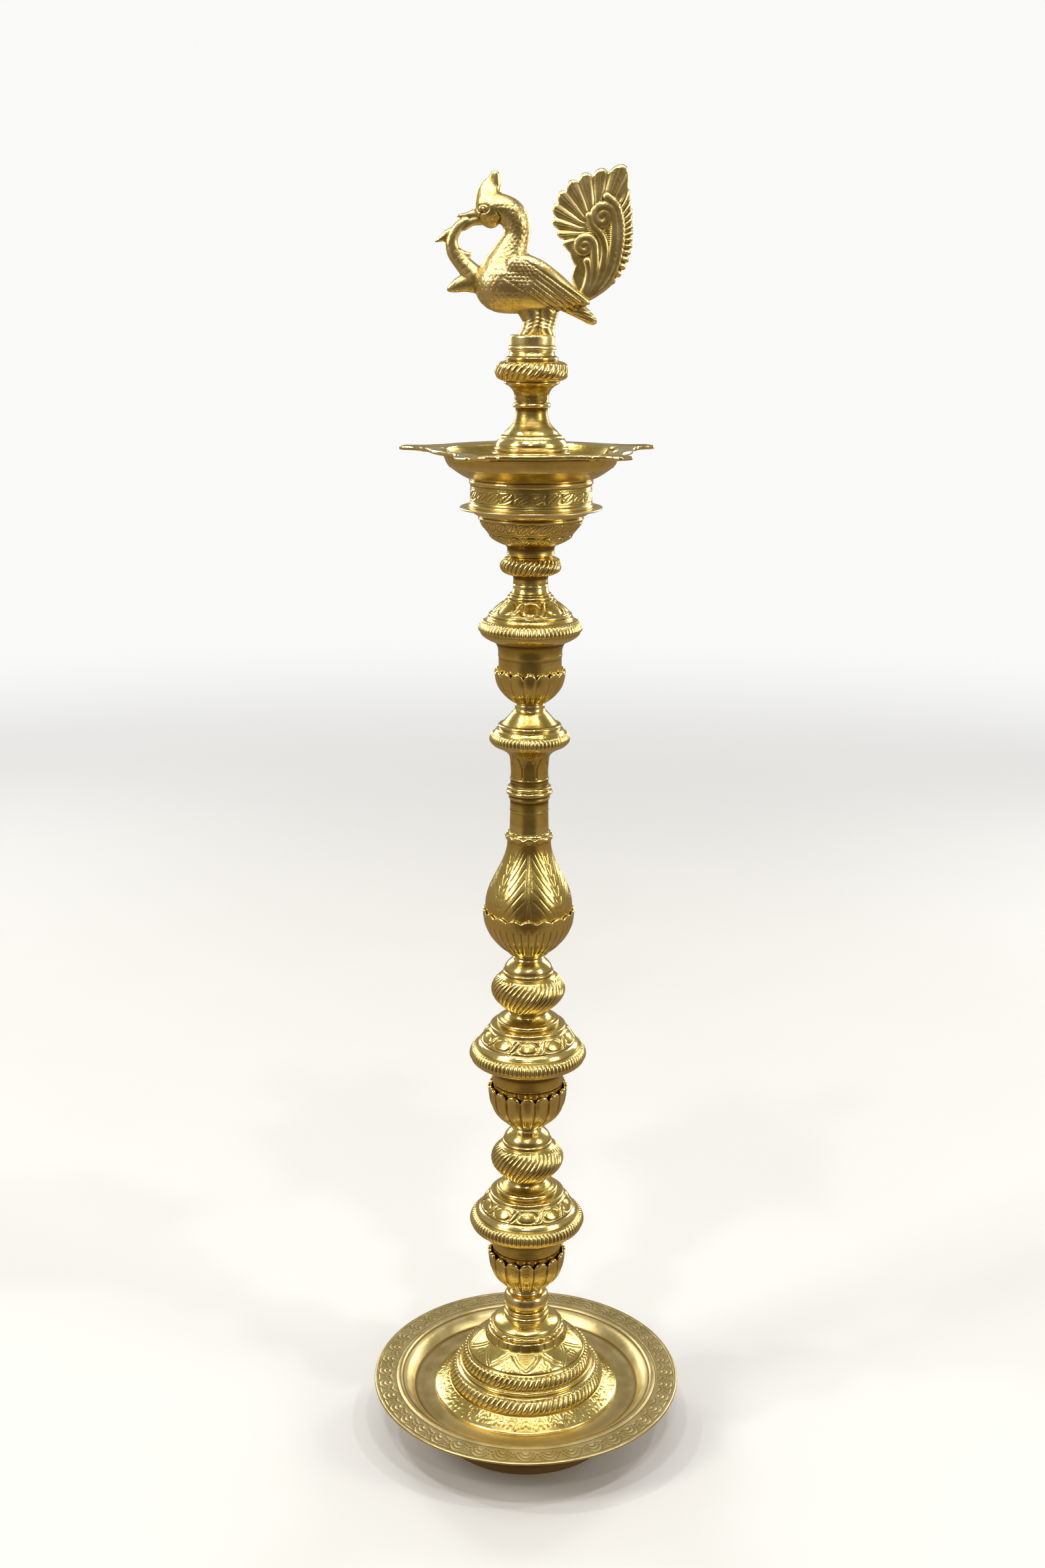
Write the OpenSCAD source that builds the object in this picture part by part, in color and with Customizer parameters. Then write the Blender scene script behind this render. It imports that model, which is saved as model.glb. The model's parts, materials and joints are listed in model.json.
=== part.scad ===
// A tall standing oil lamp of cast and turned brass. Its sections screw together on threaded studs:
// a drip tray and pedestal, a column of lotus cups, skirts and roped bulbs, a vase, a neck tube,
// a capital, a five-spouted oil dish, and a stem that carries a peacock. Millimetres, +Z up, with
// the origin on the lamp's axis at the floor. The peacock faces -X.

/* [Base] */
// Radius of the drip tray's flange
tray_r = 153; // [150:1:160]
// Radius of the lip where the flange drops into the well
lip_r = 128; // [124:1:130]
// Height of the flange's top above the floor
flange_z = 58; // [56:1:62]
// Height of the well's floor
well_z = 45; // [43:1:47]
// Radius of the tray's foot ring at the floor
foot_r = 89; // [84:1:92]
// Radius of the pedestal's foot
pedestal_r = 92; // [90:1:94]
// Height of the pedestal, from the well's floor to its neck
pedestal_h = 109; // [107:1:112]

/* [Column] */
// Radius of the column's two lotus cups
cup_r = 38.2; // [37:0.1:40]
// Height of those cups
cup_h = 46; // [44:1:48]
// Radius of the column's two wide skirts
skirt_r = 55.5; // [54:0.5:60]
// Radius of the two roped bulbs
bulb_r = 34.7; // [33:0.1:38]
// Radius of the fluted cup that holds the vase
vase_cup_r = 43.5; // [43.5:0.5:48]
// Radius of the vase at its widest
vase_r = 41; // [39:0.5:41]
// Height of the vase, from the floor of its cup
vase_h = 112; // [108:1:118]
// Height of the neck tube
tube_h = 123; // [120:1:130]
// Radius of the small skirt at the top of the neck tube
tube_skirt_r = 36.6; // [35:0.1:42]
// Radius of the top lotus cup
top_cup_r = 32.6; // [32:0.1:36]
// Height of the top lotus cup
top_cup_h = 34; // [32:1:36]
// Radius of the top skirt
top_skirt_r = 46.6; // [44:0.1:52]

/* [Head] */
// Radius of the catch plate under the oil drum
plate_r = 64; // [60:1:70]
// Radius of the oil drum
drum_r = 54.5; // [53:0.5:58]
// Height of the oil drum
drum_h = 24; // [22:1:28]
// Distance from the axis to a spout's tip
spout_r = 120; // [112:1:126]
// Radius of the dish's rim between two spouts
dish_r = 90; // [88:1:96]
// Turn of the first spout about the axis, in degrees
spout_turn = 24; // [0:1:71]
// Number of wick spouts
spouts = 5; // [3:1:6]
// Height of the stem, from the dish's floor to the peacock's pad
stem_h = 106; // [104:1:112]
// Thickness of the peacock's tail fan
tail_t = 7; // [5:0.5:10]

/* [Screw joints] */
// Radius of the studs in the column
stud_r = 8; // [7:0.5:8]
// Radius of the two studs above the dish
small_stud_r = 6; // [5:0.5:6]
// Radial clearance of a stud in its tapped hole
stud_gap = 0.05; // [0.02:0.01:0.1]
// Length of stud that each piece grips
grip = 18; // [16:1:18]

/* [Hidden] */
hole_h = grip + 1;       // depth of a tapped hole
cup_floor = 12;          // thickness of a column cup's floor
vase_floor = 10;         // thickness of the vase cup's floor
top_floor = 10;          // thickness of the top cup's floor
skirt_h = 106.5;         // a column skirt, from its collar's foot to its neck
bulb_h = 57.5;           // a roped bulb with its two necks
top_skirt_h = 100;       // the top skirt, from its collar's foot to its neck
capital_h = 67;          // the capital, without its plate
plate_t = 2;             // the catch plate
sheet_t = 3.3;           // thickness of the dish's rim
dish_floor = 4;          // the dish's floor above its seat on the drum
neck_r = 13.7;           // the narrow seams of the column
foot_neck_r = 18.6;      // the seams under the roped bulbs
bolt_r = 5;
bolt_top = 128;          // the tie bolt's end, inside the pedestal's neck
turn_fn = 96;

// Heights of the seams, from the floor up
cup_1_z = well_z + pedestal_h;
skirt_1_z = cup_1_z + cup_floor;
bulb_1_z = skirt_1_z + skirt_h;
cup_2_z = bulb_1_z + bulb_h;
skirt_2_z = cup_2_z + cup_floor;
bulb_2_z = skirt_2_z + skirt_h;
vase_cup_z = bulb_2_z + bulb_h;
vase_z = vase_cup_z + vase_floor;
tube_z = vase_z + vase_h;
top_cup_z = tube_z + tube_h;
top_skirt_z = top_cup_z + top_floor;
capital_z = top_skirt_z + top_skirt_h;
plate_z = capital_z + capital_h;
drum_z = plate_z + plate_t;
dish_z = drum_z + drum_h;
stem_z = dish_z + dish_floor;
peacock_z = stem_z + stem_h;
boss_z = drum_z + 2;             // foot of the dish's tapped boss
boss_top = stem_z + 17;
rim_z = dish_z + 24;             // underside of the dish's rim plate

// ---- outlines ----

// A curve from (r0, z0) to (r1, z1) that leaves along the radius and ends upright, as a bowl does
function bowl(r0, z0, r1, z1, power = 3, n = 8) =
  [for (i = [0:n]) let (t = i / n) [r0 + (r1 - r0) * (1 - pow(1 - t, power)), z0 + (z1 - z0) * t]];

// A quarter wave from (r0, z0) that swells to (r1, z1)
function swell(r0, z0, r1, z1, n = 6) =
  [for (i = [0:n]) let (t = i / n) [r0 + (r1 - r0) * sin(90 * t), z0 + (z1 - z0) * t]];

// A quarter wave that leaves (r0, z0) upright and runs in to (r1, z1)
function shoulder(r0, z0, r1, z1, n = 6) =
  [for (i = [0:n]) let (t = i / n) [r1 + (r0 - r1) * cos(90 * t), z0 + (z1 - z0) * t]];

// An S curve between two radii
function ogee(r0, z0, r1, z1, n = 8) =
  [for (i = [0:n]) let (t = i / n) [r0 + (r1 - r0) * (1 - cos(180 * t)) / 2, z0 + (z1 - z0) * t]];

// A half-round bead that stands out of radius r between z0 and z1
function bead(r, z0, z1, out, n = 6) =
  [for (i = [0:n]) let (a = 180 * i / n) [r + out * sin(a), (z0 + z1) / 2 - (z1 - z0) / 2 * cos(a)]];

// ---- shared shapes ----

module turned(outline) {
  rotate_extrude($fn = turn_fn)
    polygon(outline);
}

module bore(r, z0, z1) {
  translate([0, 0, z0])
    cylinder(r = r, h = z1 - z0, $fn = turn_fn);
}

// A section of the lamp that stands at z: turned outside, cored inside, tapped at both ends
module casting(z, h, outline, core) {
  translate([0, 0, z])
    difference() {
      turned(outline);
      turned(core);
      bore(stud_r + stud_gap, -1, hole_h);
      bore(stud_r + stud_gap, h - hole_h, h + 1);
    }
}

// A cup of standing petals, with a hole in its floor for the stud
module lotus_cup(z, h, r, floor_t, seat_r, power) {
  outer = bowl(neck_r, 0, r, h, power);
  inner = bowl(seat_r, floor_t, r - 2.4, h, power);
  color("gold")
    translate([0, 0, z])
      difference() {
        turned(concat([[0, 0]], outer, [[0, h]]));
        turned(concat([[0, floor_t]], inner, [[r - 2.4, h + 1], [0, h + 1]]));
        bore(stud_r + 0.4, -1, floor_t + 1);
      }
}

// A wide bell-shaped skirt on a collar that stands in a lotus cup
module column_skirt(z) {
  collar_h = 36;
  collar_r = cup_r - 4.7;
  under_z = 50;
  lip_z = 62;
  band_z = 72;
  outline = concat(
    [[0, 0]],
    bowl(21, 0, collar_r, collar_h),
    [[collar_r + 1, collar_h + 2], [collar_r + 1.5, under_z]],
    swell(collar_r + 3, under_z + 1.5, skirt_r, lip_z),
    shoulder(skirt_r, lip_z + 2, skirt_r - 3.5, band_z, 4),
    [[skirt_r - 4.5, band_z], [46, 79], [37, 91]],
    bead(35, 91, 95, 1.6),
    [[29, 96]],
    bead(28.5, 96.5, 100.5, 1.6),
    shoulder(26, 101, foot_neck_r, 105, 4),
    [[foot_neck_r, skirt_h], [0, skirt_h]]);
  core = [[0, hole_h], [20, hole_h], [28, 30], [28, 50], [44, 60], [48, 64], [45, 72], [28, 84],
    [12, skirt_h - hole_h], [0, skirt_h - hole_h]];
  color("goldenrod")
    casting(z, skirt_h, outline, core);
}

// A bulb with roped fluting, stepped up to a narrow neck
module rope_bulb(z) {
  belly_z = 24;
  step_z = 38;
  outline = concat(
    [[0, 0], [foot_neck_r, 0]],
    swell(foot_neck_r + 0.6, 3, bulb_r, belly_z),
    shoulder(bulb_r, belly_z, 26.5, step_z),
    [[25.5, step_z + 1]],
    bead(23, step_z + 2, step_z + 5, 1.2),
    shoulder(22.8, step_z + 6, neck_r, bulb_h - 1),
    [[neck_r, bulb_h], [0, bulb_h]]);
  core = [[0, hole_h], [20, hole_h], [28, 22], [28, 28], [20, 36], [0, bulb_h - hole_h]];
  color("gold")
    casting(z, bulb_h, outline, core);
}

// A threaded stud between two heights, with chamfered ends
module stud(r, z0, z1) {
  color("khaki")
    turned([[0, z0], [r - 1, z0], [r, z0 + 1], [r, z1 - 1], [r - 1, z1], [0, z1]]);
}

// ---- base ----

module drip_tray() {
  sheet = 2.8;
  outline = concat(
    [[bolt_r + 0.5, well_z], [104, well_z]],
    bowl(108, well_z + 0.8, lip_r - 3, flange_z - 2, 0.5),
    [[lip_r - 1, flange_z + 0.4], [lip_r + 1, flange_z], [tray_r - 1, flange_z],
     [tray_r, flange_z - 0.8], [tray_r, flange_z - sheet], [lip_r, flange_z - sheet - 0.4],
     [lip_r - 8, flange_z - 10], [106, well_z - 5], [foot_r + 7, 14], [foot_r, 0],
     [foot_r - 4, 0], [foot_r + 3, 14], [99, well_z - 4], [bolt_r + 0.5, well_z - 4]]);
  color("darkkhaki")
    turned(outline);
}

module pedestal() {
  z = well_z;
  neck_z = pedestal_h;
  outline = concat(
    [[0, 0], [pedestal_r, 0], [pedestal_r, 2], [77, 11]],
    shoulder(76.5, 12, 69, 25, 5),
    bead(65.5, 26, 30, 1.5),
    shoulder(64.5, 31, 59, 43, 5),
    [[58, 44]],
    shoulder(57.5, 45, 41.5, 57),
    [[40, 58], [37.5, 65]],
    bead(34, 66, 70, 2.4),
    shoulder(32.5, 71, 24, 78),
    bead(21, 79, 83, 1.6),
    bead(20, 84, 88, 1.4),
    bead(18, 89, 105, 4.2),
    [[neck_r, neck_z - 2], [neck_r, neck_z], [0, neck_z]]);
  core = [[0, -1], [86, -1], [86, 0.5], [72, 10], [64, 24], [60, 32], [53, 42], [35, 53], [30, 61],
    [18, 67], [0, 67]];
  color("goldenrod")
    translate([0, 0, z])
      difference() {
        turned(outline);
        turned(core);
        bore(bolt_r + stud_gap, 60, bolt_top + 1 - z);
        bore(stud_r + stud_gap, neck_z - hole_h, neck_z + 1);
      }
}

module base_bolt() {
  head_h = 6.4;
  head_top = well_z - 4 - 2;
  color("silver") {
    translate([0, 0, head_top - head_h])
      cylinder(r = 9.2, h = head_h, $fn = 6);
    bore(bolt_r, head_top - 0.5, bolt_top);
  }
}

module base_washer() {
  color("silver")
    translate([0, 0, well_z - 6])
      difference() {
        cylinder(r = 18, h = 2, $fn = turn_fn);
        bore(bolt_r + 0.5, -1, 3);
      }
}

// ---- column ----

module lotus_cup_lower() { lotus_cup(cup_1_z, cup_h, cup_r, cup_floor, 24, 3.1); }
module lotus_cup_middle() { lotus_cup(cup_2_z, cup_h, cup_r, cup_floor, 24, 3.1); }
module lotus_cup_upper() { lotus_cup(top_cup_z, top_cup_h, top_cup_r, top_floor, 21, 2.8); }
module skirt_lower() { column_skirt(skirt_1_z); }
module skirt_middle() { column_skirt(skirt_2_z); }
module rope_bulb_lower() { rope_bulb(bulb_1_z); }
module rope_bulb_middle() { rope_bulb(bulb_2_z); }

module vase_cup() { lotus_cup(vase_cup_z, 47, vase_cup_r, vase_floor, 26, 2.4); }

module vase() {
  belly_z = 40;
  top = vase_h;
  outline = concat(
    [[0, 0]],
    bowl(20, 0, vase_r - 1.2, 30, 2.2),
    [[vase_r, belly_z]],
    ogee(vase_r, belly_z, 20.3, top - 8, 12),
    [[21.2, top - 3], [21.2, top - 1], [19, top], [0, top]]);
  core = [[0, hole_h], [30, hole_h], [36, 30], [36, 44], [25, 72], [13, 92], [0, vase_h - hole_h]];
  color("gold")
    casting(vase_z, vase_h, outline, core);
}

module neck_tube() {
  top = tube_h;
  outline = concat(
    [[0, 0], [18.4, 0], [17.8, 20], [18.2, 32]],
    bead(18.6, 37, 45, 2.8),
    [[17.6, 48], [17.3, 58], [17.9, 69]],
    [[20.5, 76], [27, 81.5]],
    swell(30, 83, tube_skirt_r, 88, 3),
    shoulder(tube_skirt_r, 90, tube_skirt_r - 2.5, 96, 3),
    [[32.5, 97]],
    bead(27.5, 100, 104, 1.6),
    [[25, 105]],
    shoulder(24, 106, neck_r, 118, 5),
    [[neck_r, top], [0, top]]);
  core = [[0, hole_h], [13.4, hole_h], [13.4, 70], [29, 88], [29, 92], [12, top - hole_h],
    [0, top - hole_h]];
  color("goldenrod")
    casting(tube_z, tube_h, outline, core);
}

module skirt_upper() {
  h = top_skirt_h;
  outline = concat(
    [[0, 0]],
    bowl(17, 0, 28.8, 28, 2.6),
    [[28.8, 34], [29.8, 42]],
    swell(31, 45, top_skirt_r, 57, 4),
    shoulder(top_skirt_r, 59, top_skirt_r - 4, 67, 4),
    [[40, 68]],
    bead(37.5, 69, 72, 1.2),
    [[36.5, 74], [22, 86]],
    bead(19, 87, 91, 1.6),
    shoulder(18, 92, 15.7, 96, 3),
    [[15.7, h], [0, h]]);
  core = [[0, hole_h], [20, hole_h], [24, 30], [24, 44], [38, 56], [38, 62], [18, 78],
    [0, h - hole_h]];
  color("gold")
    casting(top_skirt_z, top_skirt_h, outline, core);
}

// ---- head ----

module capital() {
  h = capital_h;
  outline = concat(
    [[0, 0], [15.8, 0], [15.8, 5]],
    bead(18, 8, 25, 9.3, 10),
    [[21.4, 26], [21.4, 33]],
    swell(24, 35, 38, 45, 5),
    [[40, 48]],
    swell(41, 49, 46, 57, 4),
    bead(46, 58, 61, 1.2),
    swell(48, 61, 53, 64, 3),
    [[53, h], [0, h]]);
  core = [[0, hole_h], [14, hole_h], [14, 34], [28, 45], [0, h - hole_h]];
  pocket = [[16, 50], [34, 50], [41, 58], [46, 64], [46, h + 1], [16, h + 1]];
  color("goldenrod")
    difference() {
      casting(capital_z, capital_h, outline, core);
      translate([0, 0, capital_z])
        turned(pocket);
    }
}

module catch_plate() {
  color("gold")
    translate([0, 0, plate_z])
      turned([[stud_r + 0.5, 0], [plate_r - 1, 0], [plate_r, 1], [plate_r - 1, plate_t],
        [stud_r + 0.5, plate_t]]);
}

module oil_drum() {
  inner_r = drum_r - 4.5;
  color("goldenrod")
    translate([0, 0, drum_z])
      turned([[inner_r, 0], [drum_r + 1.5, 0], [drum_r + 1.5, 3], [drum_r, 4], [drum_r, drum_h - 4],
        [drum_r + 0.8, drum_h - 3], [drum_r + 0.8, drum_h], [inner_r, drum_h]]);
}

// The rim's outline: a round dish drawn out into blunt spouts. grow moves the whole line outwards
function rim_line(grow) =
  [for (k = [0:spouts - 1])
    for (p = [[-20, dish_r], [-15, dish_r + 2], [-11, dish_r + 7], [-7, dish_r + 14],
              [-3.6, spout_r], [3.6, spout_r], [7, dish_r + 14], [11, dish_r + 7],
              [15, dish_r + 2], [20, dish_r]])
      let (a = spout_turn + 360 / spouts * k + p[0])
        (p[1] + grow) * [cos(a), sin(a)]];

// A spout's open channel, from the bowl to just short of its tip
function channel(tip_gap) =
  [[dish_r - 24, -17], [dish_r - 4, -15], [dish_r + 8, -9], [spout_r - tip_gap, -3.5],
   [spout_r - tip_gap, 3.5], [dish_r + 8, 9], [dish_r - 4, 15], [dish_r - 24, 17]];

module oil_dish() {
  bowl_out = concat(
    [[0, 0], [drum_r - 0.5, 0], [drum_r + 3.5, 2]],
    swell(drum_r + 3.5, 2, 75, 13, 4),
    [[80, 17], [dish_r - 3, 24], [0, 24]]);
  bowl_in = concat(
    [[0, dish_floor]],
    [[50, dish_floor], [58, 6.5]],
    swell(58, 6.5, 71, 15, 4),
    [[dish_r - 8, 24], [dish_r - 6, 28], [0, 28]]);
  color("gold")
    difference() {
      union() {
        translate([0, 0, dish_z])
          turned(bowl_out);
        translate([0, 0, rim_z - 3])
          linear_extrude(3.2)
            intersection() {
              polygon(rim_line(-4));
              circle(r = spout_r - 6, $fn = turn_fn);
            }
        translate([0, 0, rim_z])
          linear_extrude(sheet_t)
            polygon(rim_line(0));
        bore(16, boss_z, dish_z + 1);
      }
      difference() {
        translate([0, 0, dish_z])
          turned(bowl_in);
        bore(16, dish_z, boss_top);
      }
      translate([0, 0, rim_z - 0.5])
        linear_extrude(10)
          for (k = [0:spouts - 1])
            rotate(spout_turn + 360 / spouts * k)
              polygon(channel(4));
      bore(stud_r + stud_gap, boss_z - 1, boss_z + hole_h);
      bore(small_stud_r + stud_gap, boss_top - hole_h, boss_top + 1);
    }
}

module stem() {
  h = stem_h;
  recess_h = boss_top - stem_z + 1;
  outline = concat(
    [[0, 0], [36, 0], [36, 3], [35, 16]],
    bead(33, 18, 22, 1.8),
    [[32.5, 24]],
    shoulder(32, 25, 16, 45, 7),
    [[14.2, 54], [14.2, 58]],
    bead(14.6, 58.5, 63.5, 1.8),
    [[15.2, 67], [17.2, 74], [22.5, 78], [24.5, 79], [24.5, 81]],
    bead(24.5, 81, 98, 7.6, 10),
    shoulder(24, 98.5, 19.8, 103, 3),
    [[19.8, h], [0, h]]);
  core = [[0, recess_h + hole_h - 1], [8, recess_h + hole_h - 1], [8, 74], [20, 86], [0, h - hole_h]];
  color("gold")
    translate([0, 0, stem_z])
      difference() {
        turned(outline);
        turned(core);
        bore(17, -1, recess_h);
        bore(small_stud_r + stud_gap, recess_h - 1, recess_h + hole_h);
        bore(small_stud_r + stud_gap, h - hole_h, h + 1);
      }
}

// ---- studs ----

module stud_pedestal() { stud(stud_r, cup_1_z - grip, skirt_1_z + grip); }
module stud_skirt_lower() { stud(stud_r, bulb_1_z - grip, bulb_1_z + grip); }
module stud_bulb_lower() { stud(stud_r, cup_2_z - grip, skirt_2_z + grip); }
module stud_skirt_middle() { stud(stud_r, bulb_2_z - grip, bulb_2_z + grip); }
module stud_bulb_middle() { stud(stud_r, vase_cup_z - grip, vase_z + grip); }
module stud_vase() { stud(stud_r, tube_z - grip, tube_z + grip); }
module stud_neck_tube() { stud(stud_r, top_cup_z - grip, top_skirt_z + grip); }
module stud_skirt_upper() { stud(stud_r, capital_z - grip, capital_z + grip); }
module stud_capital() { stud(stud_r, plate_z - grip, boss_z + grip); }
module stud_dish() { stud(small_stud_r, boss_top - grip, boss_top + 1 + grip); }
module stud_stem() { stud(small_stud_r, peacock_z - grip, peacock_z + grip); }

// ---- peacock ----

// A rounded limb through balls, each given as [x, y, z above the pad, radius]
module limb(balls) {
  hull()
    for (b = balls)
      translate([b[0], b[1], b[2]])
        sphere(r = b[3], $fn = 16);
}

module peacock() {
  pad = [[0, 0], [19.8, 0], [21.2, 2], [21.2, 4.5], [20, 6], [20, 13.5], [18, 15.5], [0, 15.5]];
  color("goldenrod")
    translate([0, 0, peacock_z])
      difference() {
        union() {
          turned(pad);
          limb([[2, 0, 16, 12], [10, 0, 16, 10], [4, 0, 36, 14]]);
          limb([[-27, 0, 56, 21], [0, 0, 56, 22], [34, 0, 44, 10], [44, 0, 42, 5]]);
          limb([[-28, 0, 64, 17], [-12, 0, 96, 10]]);
          limb([[-12, 0, 96, 10], [-25, 0, 114, 10], [-37, 0, 118, 11]]);
          limb([[-40, 0, 122, 6], [-33, 0, 145, 3]]);
          limb([[-44, 0, 115, 6], [-62, 0, 111, 2.5]]);
          limb([[-62, 0, 111, 2.5], [-73, 0, 87, 3.5], [-46, 0, 60, 6]]);
        }
        bore(small_stud_r + stud_gap, -1, hole_h);
      }
}

module peacock_tail() {
  fan = [[36, 42], [44, 39], [58, 46], [68, 53], [76, 61], [82, 72], [86, 96], [84, 122], [81, 138],
    [82, 156], [66, 152], [54, 148], [40, 144], [27, 136], [18, 124], [16, 110], [22, 97], [32, 84],
    [38, 72], [36, 62], [28, 54]];
  color("gold")
    translate([0, 0, peacock_z])
      rotate([90, 0, 0])
        translate([0, 0, -tail_t / 2])
          linear_extrude(tail_t)
            polygon(fan);
}

drip_tray();
pedestal();
base_bolt();
base_washer();
lotus_cup_lower();
stud_pedestal();
skirt_lower();
stud_skirt_lower();
rope_bulb_lower();
lotus_cup_middle();
stud_bulb_lower();
skirt_middle();
stud_skirt_middle();
rope_bulb_middle();
stud_bulb_middle();
vase_cup();
vase();
stud_vase();
neck_tube();
lotus_cup_upper();
stud_neck_tube();
skirt_upper();
stud_skirt_upper();
capital();
catch_plate();
stud_capital();
oil_drum();
oil_dish();
stud_dish();
stem();
stud_stem();
peacock();
peacock_tail();
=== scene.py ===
import json
from math import pi, sin, cos, radians, hypot
import bpy
import bmesh
import numpy as np
from mathutils import Matrix, Vector


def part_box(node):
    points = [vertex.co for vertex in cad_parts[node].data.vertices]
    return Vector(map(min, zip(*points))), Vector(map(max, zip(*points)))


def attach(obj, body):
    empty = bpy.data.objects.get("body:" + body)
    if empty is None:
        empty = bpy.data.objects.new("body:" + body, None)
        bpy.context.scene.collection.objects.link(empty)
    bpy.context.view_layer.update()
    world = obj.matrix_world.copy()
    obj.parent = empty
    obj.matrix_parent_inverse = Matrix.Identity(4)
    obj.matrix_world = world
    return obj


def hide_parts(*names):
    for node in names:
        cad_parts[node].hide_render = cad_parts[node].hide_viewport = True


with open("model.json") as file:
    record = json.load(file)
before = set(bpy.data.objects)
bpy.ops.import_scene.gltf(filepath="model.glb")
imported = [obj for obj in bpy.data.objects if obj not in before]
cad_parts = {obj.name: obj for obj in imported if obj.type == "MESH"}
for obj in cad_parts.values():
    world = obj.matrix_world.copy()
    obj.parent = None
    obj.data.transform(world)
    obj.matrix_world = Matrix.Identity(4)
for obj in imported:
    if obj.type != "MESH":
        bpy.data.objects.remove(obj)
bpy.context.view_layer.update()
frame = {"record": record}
mm = 0.001                                  # outlines below are in millimetres
record = frame["record"]
bodyOf = {node: body for body, nodes in record["behaviour"]["bodies"].items() for node in nodes}
slotOf = {row["node"]: row["material_slot"] for row in record["subparts"]}
tau = 2 * pi
front = -pi / 2                             # the side that faces the viewer


# outlines: lists of (radius, height), each from the foot up

def sweep(start, end, shape, points=14):
    # from one (radius, height) to another; shape bends the radius and runs from 0 to 1
    (r0, z0), (r1, z1) = start, end
    steps = [i / points for i in range(points + 1)]
    return [(r0 + (r1 - r0) * shape(t), z0 + (z1 - z0) * t) for t in steps]


def bowl(start, end, power=3, points=22):   # leaves outwards, ends upright
    return sweep(start, end, lambda t: 1 - (1 - t) ** power, points)


def swell(start, end, points=14):           # a quarter wave that ends upright
    return sweep(start, end, lambda t: sin(pi / 2 * t), points)


def shoulder(start, end, points=14):        # a quarter wave that starts upright
    return sweep(start, end, lambda t: 1 - cos(pi / 2 * t), points)


def ogee(start, end, points=20):
    return sweep(start, end, lambda t: (1 - cos(pi * t)) / 2, points)


def bead(radius, low, high, out, points=10):
    turns = [pi * i / points for i in range(points + 1)]
    return [(radius + out * sin(a), (low + high) / 2 - (high - low) / 2 * cos(a)) for a in turns]


def refine(outline, gap, fine=()):
    # adds points so that no stretch is longer than gap, or than a fine band's own gap
    made = outline[:1]
    for (r0, z0), (r1, z1) in zip(outline, outline[1:]):
        middle = (z0 + z1) / 2
        limit = min([gap] + [g for low, high, g in fine if low < middle < high])
        count = max(1, int(np.ceil(hypot(r1 - r0, z1 - z0) / limit)))
        made += [(r0 + (r1 - r0) * i / count, z0 + (z1 - z0) * i / count)
                 for i in range(1, count + 1)]
    return made


def keep(name, bm):
    mesh = bpy.data.meshes.new(name)
    bm.to_mesh(mesh)
    bm.free()
    mesh.shade_smooth()
    piece = bpy.data.objects.new(name, mesh)
    bpy.context.scene.collection.objects.link(piece)
    return piece


def spun(name, outline, steps, foot=0, hole=None):
    # turns an outline about the axis; with a hole it becomes a ring that closes through it
    bm = bmesh.new()
    if hole:
        outline = [(hole, outline[0][1])] + outline + [(hole, outline[-1][1])]
    ring = [bm.verts.new((r * mm, 0, (z + foot) * mm)) for r, z in outline]
    closing = [] if outline[0][0] == 0 else ring[:1]      # an outline from axis to axis stays open
    lines = [bm.edges.new(pair) for pair in zip(ring, ring[1:] + closing)]
    # one short sector, doubled until it closes
    doublings = 0
    while steps % 2 == 0 and steps > 8:
        steps, doublings = steps // 2, doublings + 1
    sector = tau / 2 ** doublings
    bmesh.ops.spin(bm, geom=ring + lines, cent=(0, 0, 0), axis=(0, 0, 1), angle=sector, steps=steps,
                   use_duplicate=False)
    for k in range(doublings):
        bmesh.ops.spin(bm, geom=bm.verts[:] + bm.edges[:] + bm.faces[:], cent=(0, 0, 0),
                       axis=(0, 0, 1),
                       angle=sector * 2 ** k, steps=1, use_duplicate=True)
    bmesh.ops.remove_doubles(bm, verts=bm.verts, dist=1e-6)
    bmesh.ops.recalc_face_normals(bm, faces=bm.faces)
    return keep(name, bm)


def readVerts(mesh):
    place = np.empty(len(mesh.vertices) * 3, np.float32)
    mesh.vertices.foreach_get("co", place)
    facing = np.empty(len(mesh.vertices) * 3, np.float32)
    mesh.vertices.foreach_get("normal", facing)
    return place.reshape(-1, 3) / mm, facing.reshape(-1, 3)


def writeVerts(mesh, place):
    mesh.vertices.foreach_set("co", (place * mm).astype(np.float32).ravel())
    mesh.update()


def carve(piece, foot, relief=None, lift=None):
    # relief and lift take (turn, radius, height) and give mm along the normal, and mm upwards
    place, facing = readVerts(piece.data)
    turn = np.arctan2(place[:, 1], place[:, 0]) - front
    radius = np.hypot(place[:, 0], place[:, 1])
    height = place[:, 2] - foot
    if relief:
        place = place + facing * relief(turn, radius, height)[:, None]
    if lift:
        place[:, 2] += lift(turn, radius, height)
    writeVerts(piece.data, place)


def measureHollows(piece, rounds=14, scale=0.45):
    # stores how deep each point lies in its surroundings, for the painted shade that the finish
    # lays into hollows
    mesh = piece.data
    place, facing = readVerts(mesh)
    pairs = np.empty(len(mesh.edges) * 2, np.int64)
    mesh.edges.foreach_get("vertices", pairs)
    one, two = pairs.reshape(-1, 2).T
    ends, others = np.concatenate([one, two]), np.concatenate([two, one])
    count = len(place)
    share = np.maximum(np.bincount(ends, minlength=count), 1)
    calm = place.astype(float)
    for _ in range(rounds):
        near = [np.bincount(ends, weights=calm[others, axis], minlength=count)
                / share for axis in range(3)]
        calm = (calm + np.stack(near, 1)) / 2
    depth = np.clip(((calm - place) * facing).sum(1) / scale, -1, 1)
    layer = mesh.attributes.new("hollow", "FLOAT", "POINT")
    layer.data.foreach_set("value", depth.astype(np.float32))


# chased patterns: 0 is the plain surface

def inside(x, low, high, soft=0.4):
    # 1 between low and high, falling off over soft
    return np.clip((x - low) / soft, 0, 1) * np.clip((high - x) / soft, 0, 1)


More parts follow.
